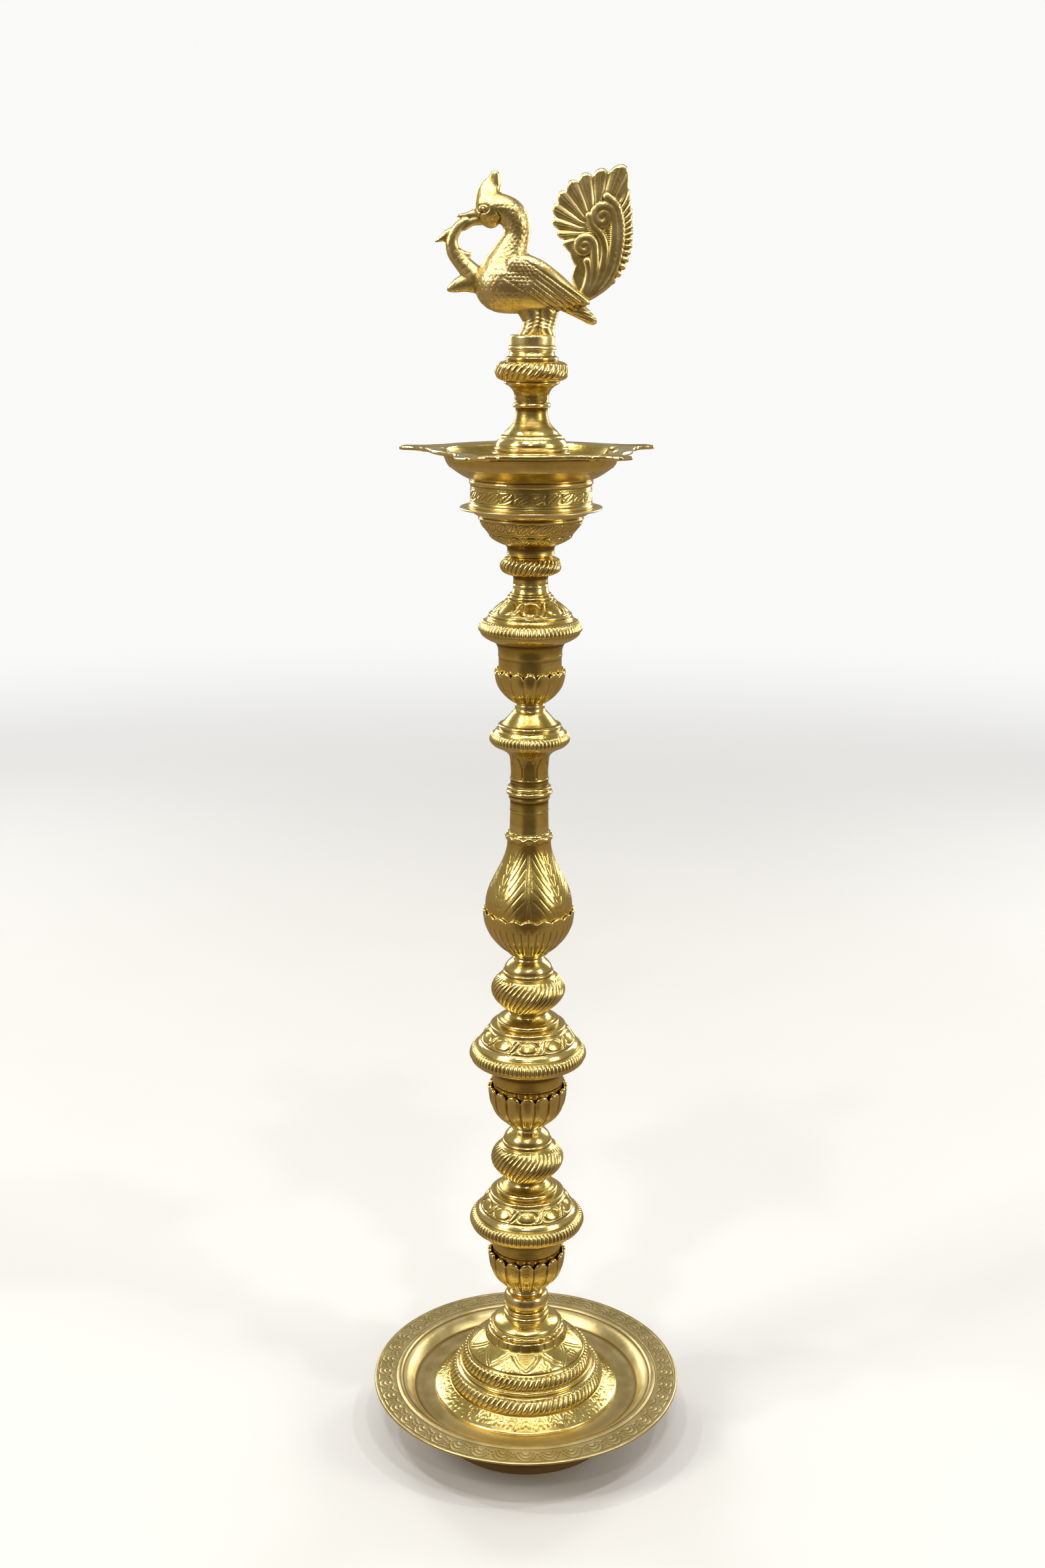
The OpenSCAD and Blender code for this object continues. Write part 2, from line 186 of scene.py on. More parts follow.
def cell(turn, count, shift=0.0):
    # where a point is across one of count repeats, from -0.5 to 0.5
    return (turn * count / tau + shift + 0.5) % 1 - 0.5


def groove(distance, width):
    return np.exp(-(distance / width) ** 2)


def ribs(turn, count, climb=0.0, power=0.6):
    # rounded ribs with sharp gaps, 0 in a gap and 1 on a rib
    return np.abs(np.cos(pi * cell(turn, count, climb))) ** power


def petalLines(turn, across, count, nested=3, width=0.05):
    # nested round arches; across runs from 0 at their feet to 1 at their tips
    side = np.abs(cell(turn, count)) * 2
    total = 0
    for k in range(nested):
        size = 1 - 0.27 * k
        arch = size * np.sqrt(np.clip(1 - (side / size) ** 2, 0, 1))
        total = total + groove(across - arch, width) * (side < size)
    return np.clip(total, 0, 1)


def leafLines(turn, across, count, slant=0.6, width=0.07):
    # a wreath of slanted leaves with a rib down each
    side = cell(turn, count, -slant * across)
    half = 0.42 * np.sin(pi * np.clip(across, 0.02, 0.98)) ** 0.7
    veins = groove((np.abs(side) * 3 - across * 5) % 1 - 0.5, 0.16) * (np.abs(side) < half) * 0.4
    return np.clip(groove(np.abs(side) - half, width) + groove(side, width * 0.7) + veins, 0, 1)


def bossBand(turn, across, count):
    # oval bosses with a slanted leaf between each two; what stands out is positive
    height = across - 0.5
    oval = np.hypot(cell(turn, count) / 0.33, height / 0.42)
    boss = 0.7 * np.clip(1 - oval, 0, 1) ** 0.5 - groove(oval - 1.1, 0.16)
    leaf = np.hypot((cell(turn, count, 0.5) - 0.3 * height) / 0.10, height / 0.50)
    blade = 0.8 * np.clip(1 - leaf, 0, 1) ** 0.5 - groove(leaf - 1.1, 0.2) * (oval > 1.25)
    return (boss + blade) * inside(across, 0, 1, 0.06)


def roping(turn, z, rope):
    # slanted strands within a band of heights, over a ground cut a little lower
    strands = ribs(turn, rope["strands"], -rope["lay"] * (z - rope["middle"]), rope["power"])
    ground = 0.6 * inside(z, *rope["band"], rope["groundSoft"])
    return rope["depth"] * (strands * inside(z, *rope["band"], rope["soft"]) - ground)


def gadroons(turn, z, look):
    # upright rounded lobes all round a band of heights
    lobes = ribs(turn, look["gadroons"], 0, 0.6) - 0.5
    return look["depth"] * lobes * inside(z, *look["band"], look["soft"])


def stipple(turn, height, count, pitch):
    return 0.5 + 0.5 * np.cos(turn * count) * np.cos(tau * height / pitch)


class Wire:                                  # a shader value that takes part in sums
    def __init__(self, finish, socket):
        self.finish, self.socket = finish, socket

    def math(self, operation, one, two=0.0):
        node = self.finish.node("ShaderNodeMath", {"operation": operation}, {0: one, 1: two})
        return Wire(self.finish, node.outputs[0])

    def __add__(self, other): return self.math("ADD", self, other)
    def __radd__(self, other): return self.math("ADD", other, self)
    def __sub__(self, other): return self.math("SUBTRACT", self, other)
    def __rsub__(self, other): return self.math("SUBTRACT", other, self)
    def __mul__(self, other): return self.math("MULTIPLY", self, other)
    def __rmul__(self, other): return self.math("MULTIPLY", other, self)
    def __pow__(self, other): return self.math("POWER", self, other)
    def most(self, other): return self.math("MAXIMUM", self, other)
    def least(self, other): return self.math("MINIMUM", self, other)


class Finish:                                # one material and the nodes it is made of
    def __init__(self, name):
        self.material = bpy.data.materials.new(name)
        self.material.use_nodes = True
        self.material.node_tree.nodes.clear()

    def node(self, kind, settings=None, sockets=None):
        tree = self.material.node_tree
        made = tree.nodes.new(kind)
        for key, value in (settings or {}).items():
            if key == "stops":
                ramp = made.color_ramp
                while len(ramp.elements) < len(value):
                    ramp.elements.new(0.5)
                for stop, (position, colour) in zip(ramp.elements, value):
                    stop.position, stop.color = position, colour
            else:
                setattr(made, key, value)
        for key, value in (sockets or {}).items():
            if isinstance(value, Wire):
                tree.links.new(value.socket, made.inputs[key])
            else:
                made.inputs[key].default_value = value
        return made

    def wire(self, node, output=0):
        return Wire(self, node.outputs[output])

    def tint(self, mask, dark, light):       # a colour between two, by mask
        made = self.node("ShaderNodeMix", {"data_type": "RGBA"}, {0: mask, 6: dark, 7: light})
        return self.wire(made, 2)

    def cloud(self, place, scale, detail=3.0, rough=0.5):
        made = self.node("ShaderNodeTexNoise", {}, {
            "Vector": place, "Scale": scale, "Detail": detail, "Roughness": rough})
        return self.wire(made, 0)


def brass(name, look):
    f = Finish(name)
    place = f.wire(f.node("ShaderNodeTexCoord"), 3)          # Object coordinates
    hollow = f.wire(f.node("ShaderNodeAttribute", {"attribute_name": "hollow"}), 2)
    axes = f.node("ShaderNodeSeparateXYZ", {}, {0: place})
    x, y, z = (f.wire(axes, i) for i in range(3))
    radius = (x * x + y * y) ** 0.5
    lathe = f.wire(f.node("ShaderNodeCombineXYZ", {}, {0: radius, 1: z, 2: x * 0.02}))
    # fine marks left by turning and polishing
    rings = f.cloud(lathe, look["ringScale"], 2.0)
    broad = f.cloud(place, 14.0, 4.0, 0.6)
    blotch = f.cloud(place, 55.0, 5.0, 0.62)
    pits = f.cloud(place, 900.0, 3.0, 0.7)
    worn = f.wire(f.node("ShaderNodeMapRange", {"clamp": True}, {0: hollow, 1: 0.04, 2: -0.5}))
    # painted shade: points that lie deep in hollows (with some blotchy noise) are darkened towards
    # brown
    hollowShade = f.wire(f.node("ShaderNodeMapRange", {"clamp": True},
                         {0: hollow + blotch * 0.22, 1: look["shadeFrom"], 2: look["shadeTo"]}))
    warm = f.tint(f.wire(f.node("ShaderNodeMapRange", {"clamp": True},
                                {0: broad, 1: 0.38, 2: 0.64})),
                  look["olive"], look["warm"])
    tone = f.tint(f.wire(f.node("ShaderNodeMapRange", {"clamp": True},
                                {0: blotch, 1: 0.40, 2: 0.72})),
                  warm, look["light"])
    tone = f.tint(worn * 0.7, tone, look["bright"])
    tone = f.tint(hollowShade * look["shadeStrength"], tone, look["brown"])
    rough = look["rough"] + blotch * look["roughRange"] + hollowShade * 0.22 - worn * 0.05
    bump = f.node("ShaderNodeBump", {}, {"Strength": look["bump"], "Distance": 0.0006,
                                          "Height": rings * look["rings"] + pits * look["pits"]})
    waves = f.node("ShaderNodeBump", {}, {"Strength": look["waves"], "Distance": 0.004,
                                           "Height": blotch, "Normal": f.wire(bump)})
    shader = f.node("ShaderNodeBsdfPrincipled", {}, {
        "Base Color": tone, "Metallic": 1.0, "Roughness": rough.least(0.75),
        "Normal": f.wire(waves)})
    f.node("ShaderNodeOutputMaterial", {}, {0: f.wire(shader)})
    return f.material


polished = {
    "olive": (0.60, 0.45, 0.105, 1), "warm": (0.78, 0.555, 0.135, 1),
    "light": (0.84, 0.66, 0.21, 1), "bright": (0.95, 0.80, 0.38, 1),
    # brown is the painted shade laid into hollows; the next values set how much of it, and from
    # which depth to which
    "brown": (0.15, 0.075, 0.016, 1), "shadeStrength": 0.85, "shadeFrom": 0.25, "shadeTo": 0.95,
    "rough": 0.10, "roughRange": 0.22, "bump": 0.22, "rings": 0.6, "pits": 0.4,
    "ringScale": 1400.0, "waves": 0.10,
}
brassFinish = {
    "polished_brass": brass("polishedBrass", polished),
    "chased_brass": brass("chasedBrass", {**polished, "rough": 0.22, "rings": 0.0, "pits": 0.9,
                                          "warm": (0.80, 0.61, 0.24, 1),
                                          "light": (0.86, 0.72, 0.37, 1),
                                          # the chased hollows take their painted shade from a
                                          # shallower depth
                                          "waves": 0.16, "shadeFrom": 0.18, "shadeTo": 0.8}),
    "engraved_brass": brass("engravedBrass", {**polished, "rough": 0.24,
                                              "bright": (0.94, 0.83, 0.50, 1),
                                              "olive": (0.66, 0.53, 0.21, 1),
                                              "warm": (0.80, 0.64, 0.285, 1),
                                              "light": (0.86, 0.72, 0.37, 1), "pits": 0.7}),
    "threaded_brass": brass("threadedBrass", {**polished, "rough": 0.24, "waves": 0.0}),
}


def fastenerSteel():
    f = Finish("zincSteel")
    place = f.wire(f.node("ShaderNodeTexCoord"), 3)
    grain = f.cloud(place, 400.0, 4.0)
    spots = f.cloud(place, 90.0, 3.0)
    bump = f.node("ShaderNodeBump", {}, {"Strength": 0.2, "Distance": 0.0004, "Height": grain})
    shader = f.node("ShaderNodeBsdfPrincipled", {}, {
        "Base Color": f.tint(spots, (0.42, 0.42, 0.43, 1), (0.62, 0.62, 0.61, 1)), "Metallic": 1.0,
        "Roughness": 0.3 + grain * 0.2, "Normal": f.wire(bump)})
    f.node("ShaderNodeOutputMaterial", {}, {0: f.wire(shader)})
    return f.material


brassFinish["steel_fastener"] = fastenerSteel()


def settle(piece, node):
    # the piece stands for that CAD node, rides where it rides and takes its finish
    measureHollows(piece)
    piece.data.materials.append(brassFinish[slotOf[node]])
    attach(piece, bodyOf[node])
    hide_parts(node)


def heights(node):
    low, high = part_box(node)
    return low.z / mm, (high.z - low.z) / mm, high.x / mm   # foot, height, radius


tray = {"steps": 600, "top": 58, "lip": 128, "well": 45, "sheet": 2.8, "petals": 40, "rays": 200,
        "chase": 0.75}


def makeTray():
    foot, _, rim = heights("drip_tray")
    lip, top, well = tray["lip"], tray["top"], tray["well"]
    outline = ([(5.6, well), (100, well)]
               + sweep((100, well), (112, well + 1.2), lambda t: t ** 0.6, 6)
               + bowl((112, well + 1.2), (lip - 3.4, top - 1.6), 0.55, 12)
               + [(lip - 2.4, top - 0.4), (lip - 1, top + 0.3), (lip + 0.4, top + 0.4),
                  (lip + 1.6, top)]
               + [(rim - 2.5, top), (rim - 1.2, top - 0.1), (rim - 0.4, top - 0.5),
                  (rim, top - 1.3)]
               + [(rim - 0.1, top - 2.2), (rim - 0.9, top - tray["sheet"]),
                  (lip + 2, top - tray["sheet"])]
               + ogee((lip, top - 3.4), (106, well - 5), 14) + swell((104, well - 8), (97, 14), 8)
               + [(90.5, 3), (89.6, 0.8), (88.6, 0), (85.4, 0), (84.8, 0.6), (92, 14),
                  (99, well - 4)]
               + [(5.6, well - 4)])
    outline = refine(outline, 4.5, [(top - 0.05, top + 0.45, 0.8)])
    piece = spun("trayTurned", outline, tray["steps"], foot)

    def relief(turn, radius, z):
        flange = inside(radius, lip + 2, rim - 2.4, 0.8) * (z > top - 1)
        across = (radius - lip - 4) / (rim - lip - 8)
        petals = petalLines(turn, across, tray["petals"], 3, 0.075)
        petals = petals * (across > -0.05) * (across < 1.1)
        rays = 0.35 * (0.5 + 0.5 * np.cos(turn * tray["rays"])) * inside(across, 0.74, 1.04, 0.1)
        borders = groove(radius - lip - 3.2, 0.5) + groove(radius - rim + 4.0, 0.5)
        return -tray["chase"] * flange * np.clip(petals + rays * (1 - petals) + borders, 0, 1)

    carve(piece, foot, relief)
    settle(piece, "drip_tray")
    # painted shade: the foot ring, shadowed by the flange above it, is set fully into the hollow
    # layer so the finish darkens it to brown
    below = inside(readVerts(piece.data)[0][:, 2], -1, 42, 2)
    layer = piece.data.attributes["hollow"].data
    depth = np.empty(len(below), np.float32)
    layer.foreach_get("value", depth)
    layer.foreach_set("value", np.maximum(depth, below).astype(np.float32))


pedestal = {"steps": 448, "petals": 36, "points": 9, "panels": 20, "flowers": 26, "chase": 0.6,
            "petalBand": (2.4, 10.6), "pointBand": (45.6, 56.6), "panelBand": (58.4, 64.8),
            "flowerBand": (66, 70.2)}
outerRope = {"strands": 80, "band": (12.6, 24.4), "middle": 18, "lay": 0.1, "power": 0.6,
             "soft": 1.4, "groundSoft": 0.4, "depth": 1.9}
innerRope = {**outerRope, "strands": 72, "band": (31.6, 42.6), "middle": 37}


def makePedestal():
    foot, height, rim = heights("pedestal")
    outline = ([(rim - 8, 0), (rim - 0.8, 0), (rim, 0.8), (rim - 0.2, 2.0)]
               + sweep((rim - 1, 2.6), (77.5, 10.6), lambda t: t ** 0.9, 8)
               + [(76.2, 11.0), (76.4, 12)]
               + sweep((76.8, 12.6), (69.5, 24.8), lambda t: t ** 2.0, 16)
               + [(68.2, 25.4), (66.2, 25.8)]
               + bead(65.6, 26, 30, 1.7) + [(64.2, 30.6), (64.2, 31)]
               + sweep((64.8, 31.4), (59.4, 42.8), lambda t: t ** 2.0, 16)
               + [(58.2, 43.6), (57.2, 44.4)]
               + sweep((57.4, 45), (41.8, 56.8), lambda t: t ** 1.3, 14) + [(40.8, 57.4)]
               + [(40.2, 58.2), (37.8, 64.8), (36.8, 65.2)] + bead(34.2, 65.8, 70.4, 2.6, 12)
               + [(33.2, 70.8)]
               + sweep((32.8, 71.2), (24.4, 77.6), lambda t: t ** 1.8, 14) + [(22.8, 78.2)]
               + bead(21, 78.6, 83.6, 1.8) + [(20.2, 84)] + bead(20, 84.4, 88.2, 1.4)
               + [(18.8, 88.6)]
               + bead(18, 89, 104.8, 4.4, 18) + [(15.6, 105.4), (14.2, 106.4)]
               + [(13.7, height)])
    outline = refine(outline, 2.4, [(2, 11, 1.0), (12, 25, 1.0), (31, 43, 1.0), (45, 71, 1.0)])
    piece = spun("pedestalTurned", outline, pedestal["steps"], foot, hole=8.1)

    def relief(turn, radius, z):
        ropes = roping(turn, z, outerRope) + roping(turn, z, innerRope)
        across = (rim - 2 - radius) / 14
        petals = petalLines(turn, across, pedestal["petals"], 3, 0.09)
        petals = petals * inside(z, *pedestal["petalBand"])
        side = np.abs(cell(turn, pedestal["points"])) * 2
        drop = (56.6 - z) / 10.6
        slope = side + drop * 0.95
        points = groove(slope - 1, 0.06) + 0.8 * groove(slope - 0.78, 0.05)
        dots = stipple(turn, z, pedestal["points"] * 9, 3.4) * (side > 0.72) * (drop > 0.45)
        points = (points + 0.5 * dots) * inside(z, *pedestal["pointBand"])
        panels = 1 - ribs(turn, pedestal["panels"], 0, 0.3)
        panels = panels * inside(z, *pedestal["panelBand"], 0.7)
        flowers = 1.2 * ribs(turn, pedestal["flowers"], 0, 0.8) - 0.6
        flowers = flowers * inside(z, *pedestal["flowerBand"], 1.4)
        lines = np.clip(petals + points + panels * 1.4, 0, 1.4)
        return (ropes + flowers - pedestal["chase"] * lines) * (radius > 12)

    carve(piece, foot, relief)
    settle(piece, "pedestal")


tieBolt = {"head": 9.2, "headHeight": 6.4, "shank": 5, "sunk": 0.4, "bevel": 0.5, "washerHole": 5.5}


def makeTieBolt():
    # a hexagon bolt and its washer under the tray, hidden in use
    foot, height, _ = heights("base_bolt")
    shankLow = tieBolt["headHeight"] - tieBolt["sunk"]
    bm = bmesh.new()

    def rod(radius, low, high, segments):
        made = bmesh.ops.create_cone(bm, cap_ends=True, segments=segments, radius1=radius * mm,
                                     radius2=radius * mm, depth=(high - low) * mm)["verts"]
        bmesh.ops.translate(bm, verts=made, vec=(0, 0, (foot + (low + high) / 2) * mm))

    rod(tieBolt["head"], 0, tieBolt["headHeight"], 6)
    bmesh.ops.bevel(bm, geom=bm.edges[:], offset=tieBolt["bevel"] * mm, segments=2, profile=0.5,
                    affect="EDGES", material=-1)
    rod(tieBolt["shank"], shankLow, height, 48)
    settle(keep("tieBolt", bm), "base_bolt")
    foot, height, rim = heights("base_washer")
    outline = [(rim - 0.4, 0), (rim, 0.4), (rim, height - 0.4), (rim - 0.4, height)]
    settle(spun("tieWasher", outline, 96, foot, tieBolt["washerHole"]), "base_washer")


columnCup = {"petals": 16, "steps": 384, "notch": 4.6, "flute": 1.8, "fold": 0.35, "wall": 2.4,
             "curl": 0.9, "lower": 3.0, "floor": 12, "seat": 24, "flare": 3.1}
upperCup = {**columnCup, "notch": 4.2, "flute": 1.1, "floor": 10, "seat": 21, "flare": 2.8}


def makeCup(node, look):
    foot, height, rim = heights(node)
    height -= look["lower"]
    floor = look["floor"]
    wall = look["wall"]
    outer = bowl((13.7, 0), (rim - 0.5, height), look["flare"], 40)
    inner = bowl((look["seat"], floor), (rim - wall, height - 0.6), look["flare"], 34)[::-1]
    lip = [(rim - 1.0, height + 0.2), (rim - wall + 0.3, height + 0.1)]
    outline = [(8.5, 0)] + refine(outer + lip + inner, 1.5) + [(8.5, floor)]
    piece = spun(node + "Petals", outline, look["steps"], foot)

    def fromMiddle(turn):                         # 0 down a petal's middle, 1 at its edges
        return np.abs(cell(turn, look["petals"])) * 2

    def upper(z):                                 # 0 below the petals' tips, 1 at the rim
        return np.clip((z / height - 0.45) / 0.55, 0, 1)

    def relief(turn, radius, z):
        side = fromMiddle(turn)
        crease = look["flute"] * side ** 3
        fold = look["fold"] * groove(side - 0.42, 0.08) * inside(z / height, 0.12, 0.62, 0.1)
        outward = (radius > 11) * inside(z, 2, height + 5, 3)
        return (look["curl"] * upper(z) ** 4 - crease - fold) * outward

    def lift(turn, radius, z):                    # rounded tips with sharp notches between them
        return -look["notch"] * fromMiddle(turn) ** 2.2 * upper(z) ** 1.5

    carve(piece, foot, relief, lift)
    settle(piece, node)


vaseCup = {"steps": 432, "flutes": 36, "scallops": 18, "wall": 2.2, "floor": 10, "seat": 26,
           "flare": 2.4, "depth": 0.9, "notch": 3.0}


def makeVaseCup():
    foot, height, rim = heights("vase_cup")
    wall, floor, flare = vaseCup["wall"], vaseCup["floor"], vaseCup["flare"]
    outer = bowl((13.7, 0), (rim - 0.4, height), flare, 42)
    inner = bowl((vaseCup["seat"], floor), (rim - wall, height - 0.6), flare, 34)[::-1]
    lip = [(rim - 1.0, height + 0.2), (rim - wall + 0.3, height + 0.1)]
    outline = [(8.5, 0)] + refine(outer + lip + inner, 1.5) + [(8.5, floor)]
    piece = spun("vaseCupFluted", outline, vaseCup["steps"], foot)

    def relief(turn, radius, z):
        flutes = vaseCup["depth"] * ribs(turn, vaseCup["flutes"], 0.5, 0.5) - 0.7
        footBead = 0.6 * inside(z, 1, 5, 1.5)
        return (flutes * inside(z, 6, height * 0.82, 5) + footBead) * (radius > 11)

    def lift(turn, radius, z):
        side = np.abs(cell(turn, vaseCup["scallops"])) * 2
        upper = np.clip((z / height - 0.72) / 0.28, 0, 1)
        return -vaseCup["notch"] * side ** 1.6 * upper ** 1.2

    carve(piece, foot, relief, lift)
    settle(piece, "vase_cup")


columnSkirt = {"steps": 504, "collar": 33.5, "gadroons": 84, "band": (62.6, 71.2), "soft": 1.2,
               "depth": 1.8, "bosses": 10, "chase": 0.7}


def makeColumnSkirt(node):
    foot, height, rim = heights(node)
    collar = columnSkirt["collar"]
    outline = (bowl((21, 0), (collar, 35), 3, 16)
               + [(collar + 0.6, 35.6), (collar + 0.9, 36.4), (collar + 0.5, 37.2)]
               + sweep((collar + 0.6, 38), (collar + 1.6, 50), lambda t: t ** 2, 6)
               + swell((collar + 3, 51.6), (rim - 0.8, 61), 14) + [(rim - 0.2, 62)]
               + sweep((rim, 63), (rim - 3.4, 71.2), lambda t: t ** 2.2, 12)
               + [(rim - 4.6, 71.8), (rim - 5.2, 72.4)]
               + sweep((rim - 5.4, 72.8), (46.4, 78.6), lambda t: t, 3)
               + [(45.6, 78.9), (45.2, 79.5)]
               + sweep((45.0, 80), (37.8, 90.2), lambda t: t ** 1.1, 6)
               + [(37, 90.6)] + bead(34.6, 91, 95, 1.9) + [(31.4, 95.6), (29.8, 96)]
               + bead(28.2, 96.4, 100.4, 1.9) + [(26.4, 100.8)]
               + sweep((26, 101.2), (19.0, 105.4), lambda t: t ** 0.6, 8) + [(18.6, height)])
    outline = refine(outline, 2.8, [(56, 71, 1.0), (79, 90.3, 0.65)])
    piece = spun(node + "Turned", outline, columnSkirt["steps"], foot, hole=8.1)

    def relief(turn, radius, z):
        bosses = bossBand(turn, (z - 80) / 10.2, columnSkirt["bosses"])
        lines = groove(z - 73.2, 0.5) + groove(z - 75.4, 0.4) + groove(z - 78.8, 0.5)
        chased = columnSkirt["chase"] * (bosses - lines)
        return (gadroons(turn, z, columnSkirt) + chased) * (radius > 12)

    carve(piece, foot, relief)
    settle(piece, node)


columnBulb = {"steps": 384, "strands": 40, "band": (4.2, 37), "middle": 18, "lay": 0.14,
              "power": 0.7, "soft": 4, "groundSoft": 4, "depth": 2.0}


def makeBulb(node):
    foot, height, rim = heights(node)
    outline = ([(18.2, 0), (18.8, 0.8), (18.9, 2.4)] + swell((19.4, 3), (rim, 24), 24)
               + shoulder((rim, 24), (27.2, 37.4), 16) + [(26.2, 37.8), (25.6, 38.6), (24.2, 39.2)]
               + bead(23, 40, 43, 1.3, 8) + [(22.8, 43.6)]
               + sweep((22.8, 44), (15.2, 54.6), lambda t: t ** 1.8, 14)
               + [(14.4, 55.6), (13.8, height)])
    outline = refine(outline, 2.2, [(3, 38, 1.0)])
    piece = spun(node + "Turned", outline, columnBulb["steps"], foot, hole=8.1)

    def relief(turn, radius, z):
        return roping(turn, z, columnBulb) * (radius > 12)

    carve(piece, foot, relief)
    settle(piece, node)


vase = {"steps": 384, "leaves": 4, "lobe": 0.25, "chase": 0.34, "collarTeeth": 12, "tooth": 2.4}


def makeVase():
    foot, height, rim = heights("vase")
    outline = (bowl((20, 0), (rim - 0.8, 30), 2.4, 20) + [(rim, 40)]
               + ogee((rim, 41), (20.4, height - 8), 44)
               + [(20.8, height - 6), (21.6, height - 4), (22.0, height - 2.2),
                  (21.6, height - 1.2)]
               + [(20, height - 0.8), (18.6, height - 2.5), (18.4, height)])
    outline = refine(outline, 2.0, [(33, 112, 0.8)])
    piece = spun("vaseTurned", outline, vase["steps"], foot, hole=8.1)

    def fromTooth(turn):                          # 0 at the middle of a tooth of the collar
        return np.abs(cell(turn, vase["collarTeeth"])) * 2

    def relief(turn, radius, z):
        side = np.abs(cell(turn, vase["leaves"])) * 2
        across = (z - 36) / 66
        rise = across * 7 + side ** 1.2 * 4.0          # veins fall away from each mid-rib
        veins = groove(rise % 1 - 0.5, 0.09) * inside(side, 0.10, 0.80, 0.10)
        lobes = np.abs(np.cos(pi * rise)) ** 0.5 * inside(side, 0.62, 1.0, 0.2)
        midrib = groove(side - 0.05 - 0.10 * np.clip(0.25 - across, 0, 1) * 4, 0.03)
        edge = groove(side - 0.93 - 0.05 * np.cos(rise * tau), 0.03)
        lines = np.clip(veins + midrib * 1.4 + edge, 0, 1.4)
        leaves = (vase["lobe"] * lobes - vase["chase"] * lines) * inside(across, 0.0, 0.97, 0.08)
        collar = inside(z, 104 + 3.0 * fromTooth(turn), 111.5, 0.6) * 0.6
        return (leaves + collar) * (radius > 17)

    def lift(turn, radius, z):
        return -vase["tooth"] * fromTooth(turn) ** 1.3 * inside(z, 107, 113, 2) * (radius > 19.6)

    carve(piece, foot, relief, lift)
    settle(piece, "vase")


neckTube = {"steps": 360, "gadroons": 60, "band": (87, 95.6), "soft": 1.4, "depth": 1.2,
            "arches": 8, "chase": 0.7, "dotDepth": 0.35}


def makeNeckTube():
    foot, height, rim = heights("neck_tube")
    outline = ([(18.4, 0), (18.2, 4), (17.8, 20), (17.8, 21), (18.2, 21.6), (17.8, 22.2),
                (17.8, 31), (18.8, 33), (19.3, 33.8), (18.6, 34.8), (18.8, 36.4)]
               + bead(19.0, 37, 41.5, 2.5) + bead(18.6, 41.8, 45.2, 1.7)
               + [(18.0, 46), (17.6, 48), (17.5, 51.4), (18.1, 52), (17.5, 52.6), (17.3, 58),
                  (17.9, 69)]
               + sweep((18.2, 70.5), (29.5, 82), lambda t: t ** 2.2, 12)
               + [(31.6, 83), (33.6, 84)] + swell((34.2, 84.6), (rim, 88), 5)
               + sweep((rim, 89), (rim - 2.4, 95.4), lambda t: t ** 2.2, 8)
               + [(33.4, 96), (32.6, 96.8)]
               + [(31, 99), (29.4, 99.8)] + bead(27.4, 100.2, 104, 1.8) + [(26, 104.4)]
               + sweep((25.4, 105), (16.6, 114.6), lambda t: t ** 0.9, 10)
               + [(14.4, 116.6), (13.7, 118.6), (13.7, height)])
    outline = refine(outline, 2.6, [(54, 83, 0.85), (86, 100, 0.9)])
    piece = spun("neckTubeTurned", outline, neckTube["steps"], foot, hole=8.1)

    def relief(turn, radius, z):
        side = np.abs(cell(turn, neckTube["arches"])) * 2
        peak = 78 - 12 * side ** 1.4
        arches = groove(z - peak, 0.5) + groove(z - peak + 2.6, 0.35)
        stems = groove(side - 0.98, 0.05) * inside(z, 54, 66, 1)
        arches = (arches * (z > 60) + stems) * inside(z, 54, 82, 2)
        dots = stipple(turn, z, 60, 1.5) * inside(z, 96.8, 99.4, 0.5) * 0.5
        chased = neckTube["chase"] * arches + neckTube["dotDepth"] * dots
        return (gadroons(turn, z, neckTube) - chased) * (radius > 12)

    carve(piece, foot, relief)
    settle(piece, "neck_tube")


topSkirt = {"steps": 432, "gadroons": 72, "band": (57.4, 66.4), "soft": 1.2, "depth": 1.6,
            "bosses": 8, "chase": 0.6}


def makeTopSkirt():
    foot, height, rim = heights("skirt_upper")
    outline = (bowl((17, 0), (28.8, 27), 2.6, 16)
               + [(28.8, 33), (28.9, 33.4), (29.3, 33.9), (29.0, 34.6), (29.4, 35.2), (29.2, 36)]
               + sweep((29.2, 37), (32.0, 46.4), lambda t: t ** 2.4, 8)
               + sweep((32.6, 47), (rim - 1, 56.6), lambda t: sin(pi / 2 * t) ** 0.9, 10)
               + [(rim - 0.2, 57.6)]
               + sweep((rim, 58.6), (rim - 4, 66.8), lambda t: t ** 2.0, 10)
               + [(41.4, 67.4), (40.6, 67.8)]
               + [(40, 68.4), (38.4, 70.6)] + bead(36.6, 71.2, 73.6, 1.2, 8) + [(36, 74.2)]
               + sweep((35.8, 74.6), (22.8, 85.6), lambda t: t ** 1.05, 8) + [(22, 86)]
               + bead(19.6, 86.4, 89.4, 1.7) + bead(17.8, 89.6, 91.8, 1.2) + [(17, 92.2)]
               + sweep((17, 92.6), (15.8, 96), lambda t: t ** 0.6, 6) + [(15.7, height)])
    outline = refine(outline, 2.8, [(53, 66, 1.0), (68, 71, 0.8), (74, 86, 0.65)])
    piece = spun("topSkirtTurned", outline, topSkirt["steps"], foot, hole=8.1)

    def relief(turn, radius, z):
        bosses = bossBand(turn, (z - 74.6) / 11, topSkirt["bosses"])
        dots = 0.6 * stipple(turn, z, 72, 1.4) * inside(z, 68.2, 70.8, 0.5)
        chased = topSkirt["chase"] * (bosses - dots)
        return (gadroons(turn, z, topSkirt) + chased) * (radius > 12)

    carve(piece, foot, relief)
    settle(piece, "skirt_upper")


capital = {"steps": 400, "leaves": 26, "petals": 16, "chase": 0.7,
           "leafBand": (48.6, 57), "petalBand": (35.6, 45.6)}
capitalRope = {"strands": 34, "band": (9.4, 23.6), "middle": 16.5, "lay": 0.125, "power": 0.7,
               "soft": 2.4, "groundSoft": 2.4, "depth": 1.8}


